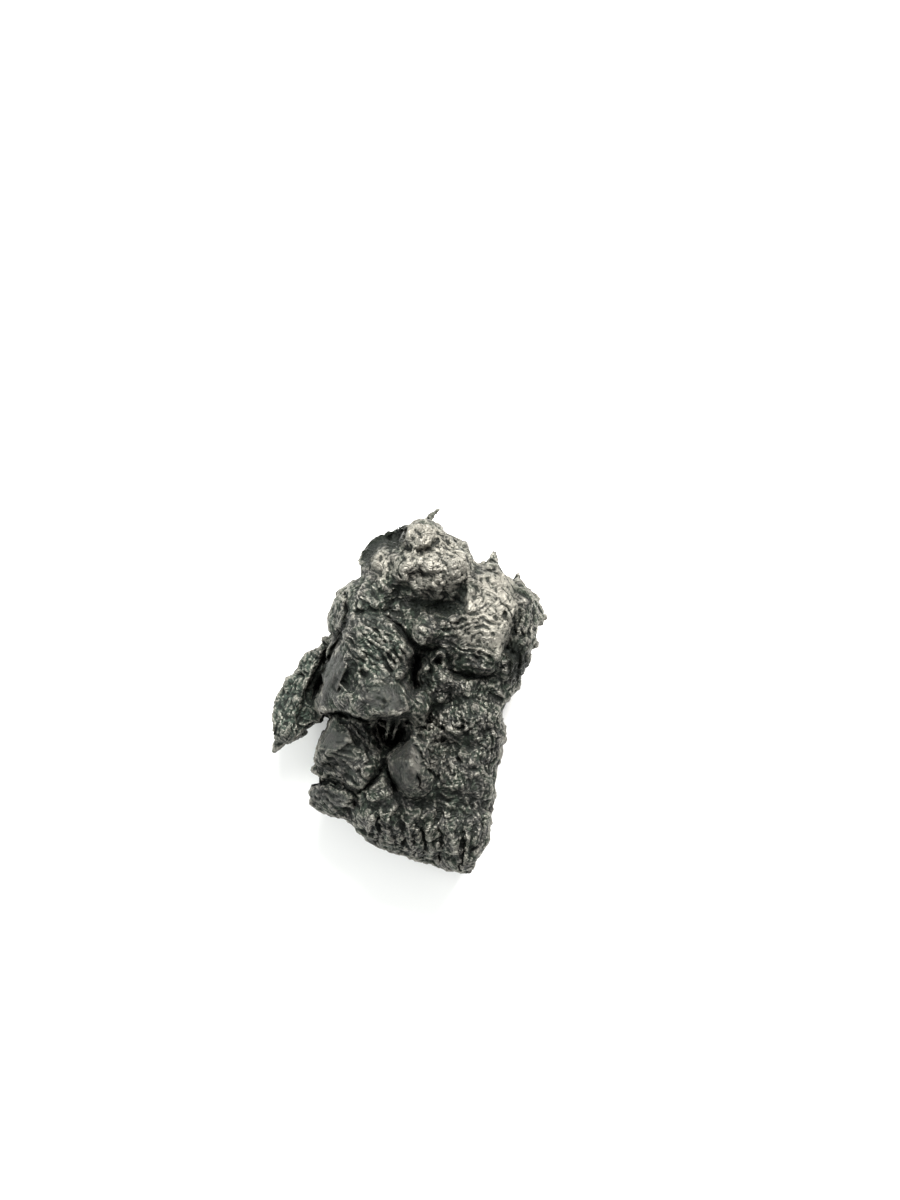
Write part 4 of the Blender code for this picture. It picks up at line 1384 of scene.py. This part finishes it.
@dataclass(frozen=True)
class PaleFloor:
    """A plain, matt, almost white floor."""

    colour: Colour = (0.94, 0.94, 0.93, 1.0)
    roughness: float = 0.9

    def make(self) -> bpy.types.Material:
        """Makes the material."""
        return NodeSheet("pale_floor").finish(Base_Color=self.colour, Roughness=self.roughness)


# --- the studio ---


@dataclass(frozen=True)
class SoftLight:
    """A square area light that looks at the stone.

    Attributes:
        name: its name.
        place: where it is, in metres.
        side: its side, in metres.
        watts: its power.
        colour: its colour.
    """

    name: str
    place: tuple[float, float, float]
    side: float
    watts: float
    colour: tuple[float, float, float]

    def add(self, target: Vector) -> None:
        """Adds the light, turned to the target."""
        lamp = bpy.data.lights.new(self.name, "AREA")
        lamp.size = self.side
        lamp.energy = self.watts
        lamp.color = self.colour
        holder = bpy.data.objects.new(self.name, lamp)
        holder.location = self.place
        holder.rotation_euler = (target - Vector(self.place)).to_track_quat("-Z", "Y").to_euler()
        bpy.context.scene.collection.objects.link(holder)


@dataclass(frozen=True)
class Studio:
    """The floor, the lights and the camera. Sizes and places are metres, but for the sensor's millimetres."""

    floor_side: float = 3.0
    world_strength: float = 0.85
    view_height: float = 0.18
    view_distance: float = 0.40
    view_centre: Point = (0.00645, 0.01395)
    sensor: float = 36.0
    near: float = 0.01
    lights: tuple[SoftLight, ...] = (
        SoftLight("key", (0.12, 0.46, 0.43), 0.34, 13.0, (1.0, 0.985, 0.96)),
        SoftLight("fill", (-0.55, 0.10, 0.40), 0.4, 3.0, (0.95, 1.0, 0.98)),
    )

    def build(self) -> None:
        """Sets the stage up."""
        low, high = (Vector(corner) for corner in CAD_BOX)
        middle = (low + high) / 2
        bpy.ops.object.select_all(action="DESELECT")
        bpy.ops.mesh.primitive_plane_add(size=self.floor_side, location=(0.0, 0.0, low.z))
        floor = bpy.context.active_object
        floor.name = "floor"
        floor.data.materials.append(PaleFloor().make())
        world = bpy.data.worlds.new("studio")
        world.use_nodes = True
        background = world.node_tree.nodes["Background"]
        background.inputs["Color"].default_value = (1.0, 1.0, 1.0, 1.0)
        background.inputs["Strength"].default_value = self.world_strength
        bpy.context.scene.world = world
        for light in self.lights:
            light.add(middle)
        self.add_camera(middle)
        bpy.context.scene.view_settings.view_transform = "Standard"

    def add_camera(self, middle: Vector) -> None:
        """Adds the camera, which looks straight down on the face."""
        lens = bpy.data.cameras.new("camera")
        lens.sensor_width = self.sensor
        lens.lens = self.sensor * self.view_distance / self.view_height
        lens.clip_start = self.near
        camera = bpy.data.objects.new("camera", lens)
        camera.location = (*self.view_centre, middle.z + self.view_distance)
        bpy.context.scene.collection.objects.link(camera)
        bpy.context.scene.camera = camera


def main() -> None:
    """Builds the stone and its studio."""
    logging.basicConfig(level=logging.INFO)
    stone = Stone().build()
    stone.data.materials.append(FusedIron().make())
    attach(stone, "root")
    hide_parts("meteorite")
    log.info("%s: %d points", stone.name, len(stone.data.vertices))
    Studio().build()


if __name__ == "__main__":
    main()
